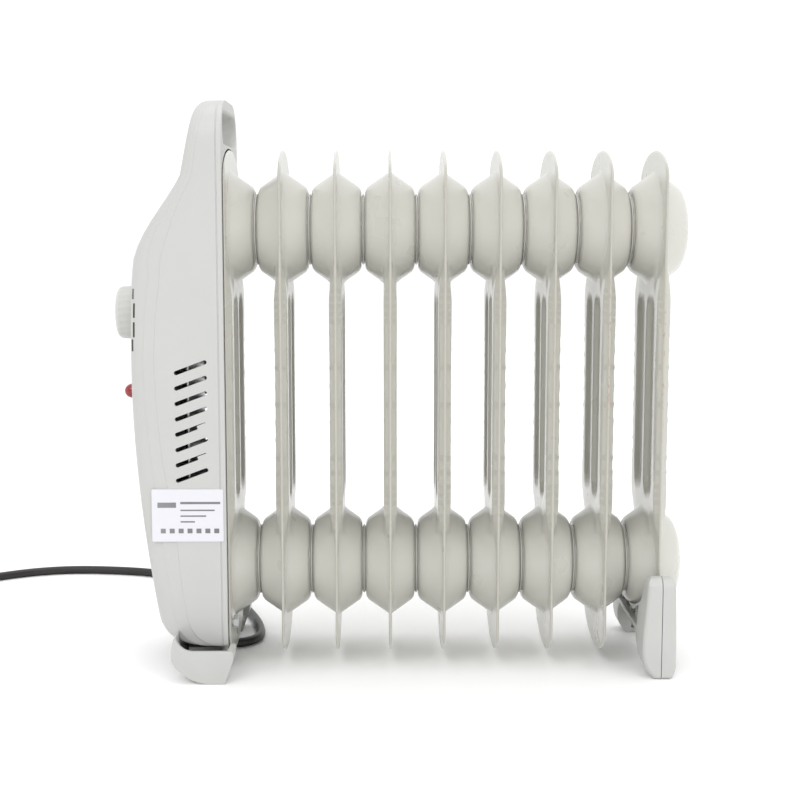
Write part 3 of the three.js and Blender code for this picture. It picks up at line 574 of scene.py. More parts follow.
def add_plug():
    """A moulded two pin plug lying on its side, with grip ribs and earth slots."""
    low, high = box_mm("plug_body")
    radius = (high.x - low.x) / 2
    start = Vector(((low.x + high.x) / 2, high.y, (low.z + high.z) / 2))
    away = (0, -1, 0)
    face = high.y - low.y
    profile = [(0.01, -1.5), (3.6, -1.5), (3.9, -1.1), (4.6, 10), (5.6, 20)]
    profile += bezier([(5.6, 22), (6.5, 25), (10, 26), (12, 30)], 6)
    profile += bezier([(12, 30), (14, 36), (radius, 38), (radius, 45)], 6)
    profile += [(radius, face - 3), (radius - 0.4, face - 1), (radius - 1.4, face), (0.01, face)]

    def ribs(angle, r, along):
        inside = smooth_step(44, 46, along) * (1 - smooth_step(face - 4, face - 3, along))
        return r - 0.5 * inside * (0.5 + 0.5 * math.cos(24 * angle))

    piece = add_piece("mains_plug", *turned(profile, start, 96, ribs, away), "black_pvc")
    slots = []
    for side in (-1, 1):
        z = start.z + side * (radius - 0.4)
        slots.append(block(start.x - 4, start.x + 4, low.y - 1, low.y + 14, z - 2.5, z + 2.5))
    combine(piece, "DIFFERENCE", *slots)
    settle(piece, "black_pvc", "plug_body")
    pins = []
    for i in (1, 2):
        pin_low, pin_high = box_mm(f"plug_pin_{i}")
        r = (pin_high.x - pin_low.x) / 2
        reach = pin_high.y - pin_low.y
        centre = ((pin_low.x + pin_high.x) / 2, pin_high.y, (pin_low.z + pin_high.z) / 2)
        straight = reach - r * 0.8
        tip = [(r * math.cos(a), straight + r * 0.8 * math.sin(a)) for a in (0.3, 0.6, 0.9, 1.2)]
        pin = [(0.01, 0), (r, 0), (r, straight), *tip, (0.01, reach)]
        shape = turned(pin, centre, 32, axis=away)
        pins.append(add_settled(f"mains_pin_{i}", shape, "zinc_steel", f"plug_pin_{i}"))
    return [piece, *pins]


TIE_WALL = 0.7
TIE_CORNER = 3.0


def add_coil_tie():
    """A flat strap round the bundle of turns."""
    low, high = box_mm("coil_tie")
    rings = []
    for sink, y in ((TIE_WALL, low.y), (0, low.y), (0, high.y), (TIE_WALL, high.y)):
        outline = round_rectangle(
            low.x + sink, high.x - sink, low.z + sink, high.z - sink, TIE_CORNER - sink, 6)
        rings.append([(x, y, z) for x, z in outline])
    rings.append(rings[0])
    strap = loft(rings, closed_ends=False)
    return add_settled("coil_strap", strap, "tie_plastic", "coil_tie")


lead, lead_length = add_cord()
relief = add_strain_relief()
plug_pieces = add_plug()
strap = add_coil_tie()

# ---- fins

FIN_HALF_WIDTH = 49.0
FIN_TIP_Z = 6.6
FIN_CORNER_Z = 28.0
FIN_ARCH_BASE_Z = 330.0
FIN_ARCH_RISE = 19.3
UPPER_CHAMBER_Z = 296.3
LOWER_CHAMBER_Z = 67.7
FIN_MIDDLE_Z = (UPPER_CHAMBER_Z + LOWER_CHAMBER_Z) / 2
PLATE_HALF = 0.75
HEM_HALF = 0.9
CHANNEL_HALF = 4.3
POCKET_HALF = 0.9
POCKET_BOTTOM_Z = 114.0
POCKET_TOP_Z = 253.0
POCKET_CENTRE_Y = 18.4
POCKET_HALF_WIDTH = 15.0
POCKET_CORNER = 13.0
RING_POINTS = 60
# Half the width of a fin over its chambers, up to the seam with the next one.
NECK_REACH = 17.85

# Half thickness of an oil chamber by radius, with the end of a neck or of a closing dome.
CHAMBER_FLANK = [
    (28.6, 15.0), (31.0, 11.7), (34.0, 7.3), (36.6, 3.5), (38.2, 1.2), (39.0, 0.0), (41.5, -5.0),
]
NECK_END = [
    (0, NECK_REACH), (22.5, NECK_REACH), (22.9, 16.3), (24.6, 16.2), (25.0, 16.45), (25.4, 16.65),
    (26.6, 16.35), *CHAMBER_FLANK,
]
DOME_END = [
    (0, 21.4), (6, 21.3), (12, 20.95), (17, 20.3), (20, 19.6), (22.5, 18.8), (22.9, 18.6),
    (24.6, 17.8), (25.0, 17.6), (25.4, 17.4), (26.6, 16.75), *CHAMBER_FLANK,
]
SEAM_RADIUS = 23.9
SEAM_HALF = 0.7
# Where the height field is sampled: rings round the chambers, and columns either side of the middle.
RING_RADII = [6, 12, 17, 20, 22.5, 22.9, 24.6, 25.0, 25.4, 26.6, 28.6, 31, 34, 36.6, 38.2, 39, 40.4]
HALF_COLUMNS = [
    1.7, 3.4, 4.2, 5.2, 6.6, 9, 12, 16, 20, 24, 27, 29, 30.4, 31.6, 32.6, 33.4, 35, 37, 39, 41, 42.6,
    43.5, 44.4,
]


def smooth_max(a, b, reach=1.2):
    return max(a, b) + max(0.0, reach - abs(a - b)) ** 2 / (4 * reach)


def pocket_depth(y, z):
    """How far a point is inside a pressed pocket, measured from its rounded rim."""
    half_height = (POCKET_TOP_Z - POCKET_BOTTOM_Z) / 2
    dy = abs(abs(y) - POCKET_CENTRE_Y) - POCKET_HALF_WIDTH + POCKET_CORNER
    dz = abs(z - (POCKET_TOP_Z + POCKET_BOTTOM_Z) / 2) - half_height + POCKET_CORNER
    outside = math.hypot(max(dy, 0), max(dz, 0)) + min(max(dy, dz), 0)
    return POCKET_CORNER - outside


def fin_half_thickness(y, z, inset, end):
    """Half the thickness of a fin at a point that is inset from its edge."""
    rim = math.sqrt(max(0.0, 1 - (1 - min(1.0, inset / 1.2)) ** 2))
    plate = HEM_HALF + (PLATE_HALF - HEM_HALF) * smooth_step(3.0, 4.0, inset)
    height = rim * plate
    reach = abs(z - FIN_MIDDLE_Z)
    standing = 1 - smooth_step(66, 104, reach) * smooth_step(28, 34, abs(y))
    if reach < UPPER_CHAMBER_Z - FIN_MIDDLE_Z:
        across = 1 - smooth_step(43.8, 48.2, abs(y))
        pressed = smooth_step(0, 3.2, pocket_depth(y, z))
        raised = CHANNEL_HALF + (POCKET_HALF - CHANNEL_HALF) * pressed
        height = max(height, height + (raised - height) * across * standing)
    for chamber_z in (UPPER_CHAMBER_Z, LOWER_CHAMBER_Z):
        radius = math.hypot(y, z - chamber_z)
        if radius < 25.2:
            return between(end, radius)
        if radius < 41:
            height = smooth_max(height, between(end, radius))
    return height


def fin_outline():
    """The edge of the plate as (y, z), counter-clockwise from the tip."""
    half = []
    arch_steps = 16
    for a in quarter(arch_steps)[:-1]:
        drop = (FIN_CORNER_Z - FIN_TIP_Z) * math.cos(a)
        half.append(Vector((FIN_HALF_WIDTH * math.sin(a), FIN_CORNER_Z - drop)))
    steps = 60
    for i in range(steps):
        height = (FIN_ARCH_BASE_Z - FIN_CORNER_Z) * i / steps
        half.append(Vector((FIN_HALF_WIDTH, FIN_CORNER_Z + height)))
    for a in quarter(arch_steps)[:-1]:
        rise = FIN_ARCH_RISE * math.sin(a)
        half.append(Vector((FIN_HALF_WIDTH * math.cos(a), FIN_ARCH_BASE_Z + rise)))
    crown = Vector((0, FIN_ARCH_BASE_Z + FIN_ARCH_RISE))
    other = [Vector((-p.x, p.y)) for p in reversed(half[1:])]
    return [*half, crown, *other]


def inset_loop(loop, distance):
    made = []
    for i, point in enumerate(loop):
        along = (loop[(i + 1) % len(loop)] - loop[i - 1]).normalized()
        made.append(point + Vector((-along.y, along.x)) * distance)
    return made


def fin_places():
    """Points on the fin as (y, z, inset), the edge first."""
    edge = fin_outline()
    places = [(p.x, p.y, 0.0) for p in edge]
    edge_count = len(places)
    for inset in (0.35, 1.2, 2.9, 4.0):
        places += [(p.x, p.y, inset) for p in inset_loop(edge, inset)]
    for chamber_z in (UPPER_CHAMBER_Z, LOWER_CHAMBER_Z):
        places.append((0, chamber_z, 9.0))
        for radius in RING_RADII:
            count = RING_POINTS if radius > 19 else RING_POINTS // 2
            for i in range(count):
                a = 2 * math.pi * i / count
                places.append((radius * math.sin(a), chamber_z + radius * math.cos(a), 8.0))
    rows = [FIN_MIDDLE_Z]
    rows += [FIN_MIDDLE_Z + side * step for step in (12, 24, 36, 46) for side in (-1, 1)]
    rows += [FIN_MIDDLE_Z + side * (52 + 1.8 * i) for i in range(30) for side in (-1, 1)]
    for z in rows:
        for y in [0, *HALF_COLUMNS, *[-y for y in HALF_COLUMNS]]:
            clear = min(math.hypot(y, z - c) for c in (UPPER_CHAMBER_Z, LOWER_CHAMBER_Z))
            if clear > 41.4:
                places.append((y, z, FIN_HALF_WIDTH - abs(y)))
    return places, edge_count


def fin_triangles():
    places, edge_count = fin_places()
    flat = [Vector((y, z)) for y, z, _ in places]
    found = delaunay_2d_cdt(flat, [], [list(range(edge_count))], 1, 1e-4)
    coords, _, triangles, origins = found[:4]
    insets = [places[o[0]][2] if o else 9.0 for o in origins]
    on_edge = [bool(o) and min(o) < edge_count for o in origins]
    return coords, triangles, insets, on_edge


def fin_mesh(name, grid, left_end, right_end):
    """Both pressed sheets of a fin, joined along the edge of the plate."""
    coords, triangles, insets, on_edge = grid
    points, right, left = [], [], []
    for p, inset, edge in zip(coords, insets, on_edge):
        right.append(len(points))
        if edge:
            points.append((0, p.x, p.y))
        else:
            points.append((fin_half_thickness(p.x, p.y, inset, right_end), p.x, p.y))
            points.append((-fin_half_thickness(p.x, p.y, inset, left_end), p.x, p.y))
        left.append(len(points) - 1)
    faces = [tuple(right[i] for i in t) for t in triangles]
    faces += [tuple(left[i] for i in reversed(t)) for t in triangles]
    seams = [neck_seam(z) for z in (UPPER_CHAMBER_Z, LOWER_CHAMBER_Z) if right_end is NECK_END]
    return add_piece(name, *merged((points, faces), *seams), "painted_steel", math.radians(50))


def neck_seam(z):
    """The welded ring half way to the next fin."""
    profile = [
        (0.01, -SEAM_HALF), (SEAM_RADIUS - 0.6, -SEAM_HALF), (SEAM_RADIUS, -0.3),
        (SEAM_RADIUS, 0.3), (SEAM_RADIUS - 0.6, SEAM_HALF), (0.01, SEAM_HALF),
    ]
    return turned(profile, (18, 0, z), RING_POINTS)


def add_fins():
    grid = fin_triangles()
    count = sum(1 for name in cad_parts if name.startswith("fin_"))
    shared = None
    for i in range(1, count + 1):
        low, high = box_mm(f"fin_{i}")
        centre = {1: high.x - NECK_REACH, count: low.x + NECK_REACH}.get(i, (low.x + high.x) / 2)
        name = f"pressed_fin_{i}"
        if i in (1, count) or shared is None:
            ends = (DOME_END if i == 1 else NECK_END, DOME_END if i == count else NECK_END)
            piece = fin_mesh(name, grid, *ends)
            if 1 < i < count:
                shared = piece.data
        else:
            piece = put(name, shared)
        piece.location.x = centre * MM
        settle(piece, "painted_steel", f"fin_{i}")


add_fins()

# ---- control box

BOX_REAR_X = -115.4
BOX_FRONT_X = -178.5
BOX_HALF_WIDTH = 54.0
BOX_BOTTOM_Z = 20.0
BOX_TOP_Z = 381.0
BOX_WALL = 2.5
BOX_EDGE = 2.0
BOX_SHOULDER_Z = 351.0
HANDLE_Z = 362.9
HANDLE_HALF_HEIGHT = 10.1
HANDLE_HALF_WIDTH = 44.0

# Where the side stops being flat, and where the corner's round begins, behind the front, by height.
CREASE_B = [
    (20, 22), (60, 22), (100, 24), (129, 21.6), (145, 20), (165, 19.2), (192, 18.4), (214, 17.6),
    (235, 18.6), (265, 20.8), (291, 19.2), (319, 11), (340, 8.5), (381, 7.0),
]
CREASE_A = [
    (20, 13), (60, 14), (129, 13.5), (165, 12), (192, 11), (214, 10.5), (235, 11.5), (254, 12.6),
    (265, 14), (302, 8.5), (332, 6.5), (381, 5.5),
]
CORNER_DEPTH = [(20, 18), (120, 14), (260, 13), (310, 12), (340, 9), (381, 7)]
FRONT_BOW = 0.8
CREASE_STEP = 0.45
RIM_GROOVE_X = 3.4


def box_front_line():
    """The front seen from the side as (z, x) in rising order of z."""
    front = BOX_FRONT_X
    knots = trace(
        (-133, BOX_BOTTOM_Z),
        ((-150, BOX_BOTTOM_Z), (-160, 24), (-163.5, 38), 14),
        ((-170, 75), (front, 140), (front, 200), 16),
        ((front, 230), (front + 0.5, 262), (front + 3, 277.5), 8),
        ((front + 8, 298), (-150, 318), (-143.5, 332), 12),
        (-136, 368),
        ((-134, 376), (-131, BOX_TOP_Z), (-126, BOX_TOP_Z), 10),
    )
    return [(p.y, p.x) for p in knots]


def box_top_line():
    """Half the width seen from behind as (z, half width), above the shoulder."""
    half = BOX_HALF_WIDTH
    lift = (BOX_SHOULDER_Z + 2 * BOX_TOP_Z) / 3
    curve = ((half, lift), (half * 0.75, BOX_TOP_Z), (half * 0.4, BOX_TOP_Z), 14)
    knots = trace((half, BOX_SHOULDER_Z), curve)
    return [(p.y, p.x) for p in knots]


FRONT_LINE = box_front_line()
TOP_LINE = box_top_line()


def box_half_width(z):
    """Half the width at a height, with the bottom edge rounded."""
    half = between(TOP_LINE, z)
    if z < BOX_BOTTOM_Z + BOX_EDGE:
        sink = 1 - (z - BOX_BOTTOM_Z) / BOX_EDGE
        half -= BOX_EDGE * (1 - math.sqrt(max(0.0, 1 - sink * sink)))
    return half


def box_ring(z, front, half, rear, lip=0.9):
    """One level of the box as a closed ring, from the near rear edge round the front."""
    room = rear - front
    round_x = min(between(CREASE_A, z), room * 0.55)
    flat_x = min(between(CREASE_B, z), room * 0.75)
    round_x = min(round_x, flat_x - 1)
    depth = min(between(CORNER_DEPTH, z), half * 0.6)
    lean = 0.9 * min(1.0, room / 40)
    path = trace((rear, half - lip), (rear - lip * 0.3, half - lip * 0.3), (rear - lip, half))
    for back, sink in ((-0.3, 0), (0, CREASE_STEP), (0.5, CREASE_STEP), (0.8, 0)):
        path.append(Vector((rear - RIM_GROOVE_X - back, half - sink)))
    flat_start, flat_end = path[-1], Vector((front + flat_x, half))
    path += [flat_start.lerp(flat_end, i / 5) for i in range(1, 6)]
    lean_start = flat_end + Vector((-0.6, -CREASE_STEP))
    lean_end = Vector((front + round_x, half - lean))
    path += [lean_start.lerp(lean_end, i / 3) for i in range(4)]
    lean_end = lean_end + Vector((-0.6, -CREASE_STEP))
    path.append(lean_end)
    bow = FRONT_BOW * min(1.0, room / 50)
    arc_end = Vector((front + bow, half - depth))
    reach = round_x - bow
    guide = Vector((-reach * 0.62, -reach * 0.62 * lean / max(1.0, flat_x - round_x)))
    path += bezier([lean_end, lean_end + guide, arc_end + Vector((0, depth * 0.55)), arc_end], 10)
    across = 6
    for i in range(1, across + 1):
        t = i / across
        path.append(Vector((front + bow * (1 - t) ** 2, arc_end.y * (1 - t))))
    near = [Vector((p.x, -p.y, z)) for p in path]
    far = [Vector((p.x, p.y, z)) for p in reversed(path[:-1])]
    return near + far


def box_levels():
    low = [20, 20.15, 20.5, 21.1, 22, 23.2, 25, 27.5, 31, 35, 40]
    body = [46 + 8 * i for i in range(36)]
    top = [332, 338, 345, 351, 355, 359, 363, 367, 370.5, 373.5, 376, 378, 379.4, 380.3, 380.8, 381]
    return [z for z in low + body if z < 330] + top


def box_outside(grow=0.0):
    """The whole outer form of the box as a closed solid, larger by grow."""
    rings = []
    for z in box_levels():
        front = between(FRONT_LINE, z) - grow
        height = z + (grow if z > 200 else -grow)
        ring = box_ring(z, front, box_half_width(z) + grow, BOX_REAR_X)
        rings.append([Vector((p.x, p.y, height)) for p in ring])
    return loft(rings)


def box_room():
    """The space inside, open at the back."""
    rise = FIN_ARCH_RISE + 1
    levels = [BOX_BOTTOM_Z + BOX_WALL, 24, 26, 29, 33, 38]
    levels += [44 + 10 * i for i in range(29)]
    levels = [z for z in levels if z < FIN_ARCH_BASE_Z]
    levels += [FIN_ARCH_BASE_Z + rise * math.sin(a) for a in quarter(14)[:-1]]
    rings = []
    for z in levels:
        share = max(0.0, (z - FIN_ARCH_BASE_Z) / rise)
        half = (BOX_HALF_WIDTH - BOX_WALL) * math.sqrt(1 - share * share)
        front = between(FRONT_LINE, z - BOX_WALL if z < 60 else z) + BOX_WALL
        rings.append(box_ring(z, front, half, BOX_REAR_X + 6, 0.05))
    return loft(rings)


def stadium(half_width, radius, steps):
    """A long round ended outline about the origin as (u, v)."""
    reach = half_width - radius
    ring = []
    for side, start in ((1, -90), (-1, 90)):
        for i in range(steps + 1):
            a = math.radians(start + 180 * i / steps)
            ring.append((side * reach + radius * math.cos(a), radius * math.sin(a)))
    return ring


def handle_hole():
    """The hand hole, opening out where it meets the front and the back."""
    flare = [
        (-158, 9), (-141.5, 4.2), (-139.5, 2.2), (-137.5, 0.9), (-135, 0.2), (-132, 0), (-119, 0),
        (-117, 0.35), (-116, 0.9), (-115.2, 1.9), (-108, 2.4),
    ]
    rings = []
    for x, grow in flare:
        ring = stadium(HANDLE_HALF_WIDTH + grow, HANDLE_HALF_HEIGHT + grow, 14)
        rings.append([(x, y, HANDLE_Z + z) for y, z in ring])
    return loft(rings)


VENT_COUNT = 8
VENT_PITCH = 10.17
VENT_TOP_Z = 207.4
VENT_X = -137.5
VENT_HALF_LENGTH = 11.4
VENT_HALF_WIDTH = 1.4
VENT_SLOPE = math.atan(0.375)
HALF_SHUT_VENTS = (4, 6)


def vent(index, side):
    """One slanted slot. In the half shut ones a rib closes most of the rear third."""
    if index in HALF_SHUT_VENTS:
        third = VENT_HALF_LENGTH / 3
        w = VENT_HALF_WIDTH
        end = VENT_HALF_LENGTH
        outline = [
            (-end + 0.4, -w * 0.7), (-end + 1, -w), (third, -w), (third + 0.4, -w * 0.5),
            (third + 0.4, w * 0.62), (end - 0.8, w * 0.62), (end - 0.4, w),
            (-end + 1, w), (-end + 0.4, w * 0.7), (-end, 0),
        ]
    else:
        outline = stadium(VENT_HALF_LENGTH, VENT_HALF_WIDTH, 8)
    turn = Matrix.Rotation(VENT_SLOPE, 2)
    centre = Vector((VENT_X, VENT_TOP_Z - index * VENT_PITCH))
    placed = [turn @ Vector(p) + centre for p in outline]
    y = sorted((side * 50, side * 60))
    return prism_along(placed, "Y", *y)


KNOB_Z = 240.0
DIAL_RADIUS = 22.0
DIAL_RECESS_X = -175.3
DIAL_BOSS_X = -171.5
# Dark dashes on both corners beside the dial: height, length and distance behind the front.
DIAL_DASHES = [(255.2, 6.8, 2.9), (244.4, 9.4, 4.0), (231.9, 9.8, 4.0), (221.6, 7.8, 2.9)]
DASH_HALF_WIDTH = 0.65


def corner_point(z, behind):
    """A point on the near front corner of the box, so far behind the front at its height."""
    ring = box_ring(z, between(FRONT_LINE, z), box_half_width(z), BOX_REAR_X)
    near = ring[:len(ring) // 2 + 1]
    target = min(p.x for p in near) + behind
    for a, b in zip(near, near[1:]):
        if a.x >= target > b.x:
            return a.lerp(b, (a.x - target) / (a.x - b.x))
    return near[-1]


def dial_dash(z, length, behind, side):
    outward = Vector((-0.06, -0.06, 0))
    rings = []
    steps = 6
    for i in range(steps + 1):
        level = z + length * (i / steps - 0.5)
        front_edge = corner_point(level, behind - DASH_HALF_WIDTH)
        back_edge = corner_point(level, behind + DASH_HALF_WIDTH)
        inward = outward * 4
        ring = [front_edge + outward, back_edge + outward, back_edge - inward, front_edge - inward]
        rings.append([(p.x, p.y * side, p.z) for p in ring])
    return loft(rings)


def add_dial_dashes():
    dashes = [dial_dash(*dash, side) for dash in DIAL_DASHES for side in (1, -1)]
    add_settled("dial_dashes", merged(*dashes), "phenolic")


def add_housing():
    slot = "box_plastic"
    piece = add_piece("control_box_shell", *box_outside(), slot)
    combine(piece, "DIFFERENCE", box_room())
    front, radius = BOX_FRONT_X, DIAL_RADIUS
    lip = front + 1.2
    boss = [(0.01, lip), (radius + 3, lip), (radius + 3, DIAL_BOSS_X), (0.01, DIAL_BOSS_X)]
    combine(piece, "UNION", turned(boss, (0, 0, KNOB_Z), 64))
    recess = [
        (0.01, front - 6), (radius + 2, front - 6), (radius + 0.8, front + 0.4), (radius, lip),
        (radius - 0.6, DIAL_RECESS_X), (0.01, DIAL_RECESS_X),
    ]
    dial = turned(recess, (0, 0, KNOB_Z), 64)
    vents = [vent(i, side) for i in range(VENT_COUNT) for side in (-1, 1)]
    notch = block(-121.1, BOX_REAR_X + 10, -50, 50, 10, BOX_BOTTOM_Z + BOX_WALL + 1)
    combine(piece, "DIFFERENCE", handle_hole())
    combine(piece, "DIFFERENCE", dial, *vents, notch)
    return settle(piece, slot, "control_box_housing")


add_housing()
add_dial_dashes()


# Left end, right end, height and half thickness of each rule, as shares of the label.
LABEL_RULES = [
    (0.40, 0.96, 0.74, 0.022), (0.40, 0.88, 0.60, 0.014), (0.40, 0.76, 0.49, 0.014),
    (0.40, 0.60, 0.38, 0.014), (0.08, 0.34, 0.70, 0.05),
]
LABEL_SQUARES = 7


def add_label():
    """A blank rating label with plain rules and squares in place of its print."""
    low, high = box_mm("rating_label")
    outline = round_rectangle(low.x, high.x, low.z, high.z, 1.0, 4)
    face = low.y + 0.1
    in_wall = high.y + 1.5
    film = prism_along(outline, "Y", face, in_wall)
    add_settled("blank_label", film, "label_film", "rating_label")
    wide = high.x - low.x
    tall = high.z - low.z
    rules = [(u0, u1, v - half, v + half) for u0, u1, v, half in LABEL_RULES]
    for i in range(LABEL_SQUARES):
        u = 0.12 + 0.125 * i
        rules.append((u, u + 0.07, 0.16, 0.25))
    marks = []
    for u0, u1, v0, v1 in rules:
        across = (low.x + wide * u0, low.x + wide * u1)
        marks.append(block(*across, face - 0.06, face + 0.06, low.z + tall * v0, low.z + tall * v1))
    ink = add_piece("label_rules", *merged(*marks), "label_ink")
    settle(ink, "label_film")


add_label()

# ---- knob and lamp

POINTER_ANGLE = 0.0
FLUTES = 24


def add_knob():
    """A fluted knob with a domed face. One strip of its side is smooth, and its face has a bar."""
    low, high = box_mm("thermostat_knob")
    radius = (high.z - low.z) / 2
    depth = high.x - low.x
    profile = [(0.01, 0), (6, 0.02), (radius - 5.5, 0.25)]
    for a in quarter(8)[1:]:
        profile.append((radius - 5.0 + 4.4 * math.sin(a), 0.3 + 3.6 * (1 - math.cos(a))))
    profile += [(radius - 0.35, 6), (radius, depth - 1.2), (radius - 0.5, depth), (0.01, depth)]

    def fluted(angle, r, along):
        if r < 1:
            return r
        side = smooth_step(1.5, 4.5, along) * (1 - smooth_step(depth - 1.8, depth - 1.2, along))
        groove = 0.5 - 0.5 * math.cos(FLUTES * angle)
        pointer = math.exp(-((math.remainder(angle - POINTER_ANGLE, 2 * math.pi) / 0.06) ** 2))
        return r - 0.55 * side * groove * (1 - pointer)

    centre_z = (low.z + high.z) / 2
    start = (low.x, 0, centre_z)
    knob = turned(profile, start, 240, fluted)
    add_settled("fluted_knob", knob, "knob_plastic", "thermostat_knob", body="knob")
    foot, tip = centre_z + 4, centre_z + (radius - 3.2)
    outline = [(-1.1, foot), (1.1, foot), (0.7, tip), (-0.7, tip)]
    bar = prism_along(outline, "X", low.x + 0.05, low.x + 1.2)
    rib = add_piece("knob_pointer", *bar, "knob_plastic")
    rounding = rib.modifiers.new("round", "BEVEL")
    rounding.width = 0.3 * MM
    rounding.segments = 2
    rounding.limit_method = "ANGLE"
    rounding.angle_limit = math.radians(30)
    apply_modifiers(rib)
    settle(rib, "knob_plastic", body="knob")


def add_lens():
    low, high = box_mm("indicator_lens")
    radius = (high.z - low.z) / 2
    reach = high.x - low.x
    profile = [(0.01, 0)]
    for a in quarter(10)[1:]:
        profile.append((radius * 0.94 * math.sin(a), radius * 1.1 * (1 - math.cos(a))))
    profile += [(radius * 0.94, reach - 1.2), (radius, reach - 1.0), (radius, reach), (0.01, reach)]
    start = (low.x, 0, (low.z + high.z) / 2)
    add_settled("lamp_lens", turned(profile, start), "red_lens", "indicator_lens")


add_knob()
add_lens()

# ---- feet

FRONT_FOOT_GAP = (-18.0, 26.0)
FLANGE_X = (-120.7, -117.0)
TOE_WALL = 3.0


def front_toe_outline():
    """The front foot seen from its end as (x, z)."""
    return trace(
        (-127.5, 0), (-116.6, 0), (-115.7, 0.9), (-113.2, 8.2),
        ((-112.2, 11), (-110.2, 15), (-110.1, 19.4), 6),
        ((-110, 21), (-110.6, 22), (-112, 22), 4),
        (-138, 22),
        ((-143.5, 22.6), (-146.5, 26.5), (-147.9, 30.2), 6),
        (-148.7, 30.8), (-149.4, 30.2),
        ((-150.6, 26), (-151.3, 22), (-151.3, 18.6), 5),
        ((-151.3, 12.8), (-148, 10.2), (-143.7, 6.8), 6),
        ((-139, 3), (-133, 0.2), (-127.5, 0), 7),
    )[:-1]


def rounded_prism_y(outline, y0, y1, radius, steps):
    """A prism along Y whose two ends are rounded by shrinking the outline."""
    ends = []
    for a in quarter(steps):
        ends.append((y0 + radius * (1 - math.sin(a)), radius * (1 - math.cos(a))))
    levels = [*reversed(ends), *[(y0 + y1 - y, shrink) for y, shrink in ends]]
    return loft([[(p.x, y, p.y) for p in inset_loop(outline, shrink)] for y, shrink in levels])


def add_front_foot():
    slot = "foot_plastic"
    low, high = box_mm("front_foot")
    near_end, far_start = FRONT_FOOT_GAP
    toe_spans = [(low.y, near_end), (far_start, high.y)]
    toes = [rounded_prism_y(front_toe_outline(), *span, 0.6, 3) for span in toe_spans]
    piece = add_piece("front_foot_toes", *merged(*toes), slot)
    hollow = [(-142.6, 8.2), (-114, 8.2), (-114, 60), (-148.2, 60), (-148.2, 17)]
    recess = [prism_along(hollow, "Y", y0 + TOE_WALL, y1 - TOE_WALL) for y0, y1 in toe_spans]
    clear_fin = block(-117, -100, -52, 52, -1, 60)
    combine(piece, "DIFFERENCE", box_outside(0.4))
    combine(piece, "DIFFERENCE", *recess)
    combine(piece, "DIFFERENCE", clear_fin)
    ribs = [block(-143.5, -120, y - 0.8, y + 0.8, 8, 16) for y in (-58, -40, 44, 60)]
    combine(piece, "UNION", *ribs)
    flange = [(-45, -19.2, 4, 45), (27.2, 45, 4, 45), (-19.3, 27.3, 12, 45)]
    combine(piece, "UNION", *[block(*FLANGE_X, *sides) for sides in flange])
    chamber = [(0.01, -130), (39.2, -130), (39.2, -100), (0.01, -100)]
    combine(piece, "DIFFERENCE", turned(chamber, (0, 0, LOWER_CHAMBER_Z), 64))
    settle(piece, slot, "front_foot")


REAR_PAD = 20.0
REAR_WEB = (26.0, 46.0)
REAR_SEAM_X = 172.5
FIN_CLEARANCE = 0.6


def rear_arch_outline(half, top):
    """The rear foot seen from the end as (y, z)."""
    inner = half - REAR_PAD
    low, high = REAR_WEB
    right = trace(
        (inner + 1.5, 0), (half - 3, 0),
        ((half - 1, 0.1), (half - 0.1, 1), (half, 3), 4),
        (half, top - 9),
        ((half, top - 3), (half - 3, top), (half - 8, top), 8),
        ((half - 14, top), (inner + 2, high + 10), (inner - 2, high + 2), 8),
        ((inner - 14, high - 4), (14, high - 9), (0, high - 9), 8),
    )
    left = [Vector((-p.x, p.y)) for p in reversed(right[:-1])]
    under = trace(
        (-inner - 1.5, 0),
        ((-inner, 1), (-inner, low - 10), (12 - inner, low), 10),
        (inner - 12, low),
        ((inner, low - 10), (inner, 1), (inner + 1.5, 0), 10),
    )
    return right + left + under[1:-1]


def rear_side_outline(left, right, top):
    """The rear foot seen from the side as (x, z)."""
    return trace(
        (left + 8, 0), (right - 4, 0),
        ((right - 1.6, 0.6), (right - 0.6, 3), (right, 8), 5),
        (right - 0.2, 35), (right - 0.9, top - 8),
        ((right - 1.2, top - 3), (right - 2.5, top), (right - 6, top), 6),
        (left + 8, top),
        ((left + 4.5, top), (left + 3, top - 2), (left + 2.8, top - 7), 6),
        ((left + 2, 44), (left, 32), (left, 20), 5),
        ((left, 10), (left + 3, 5), (left + 8, 0), 6),
    )[:-1]


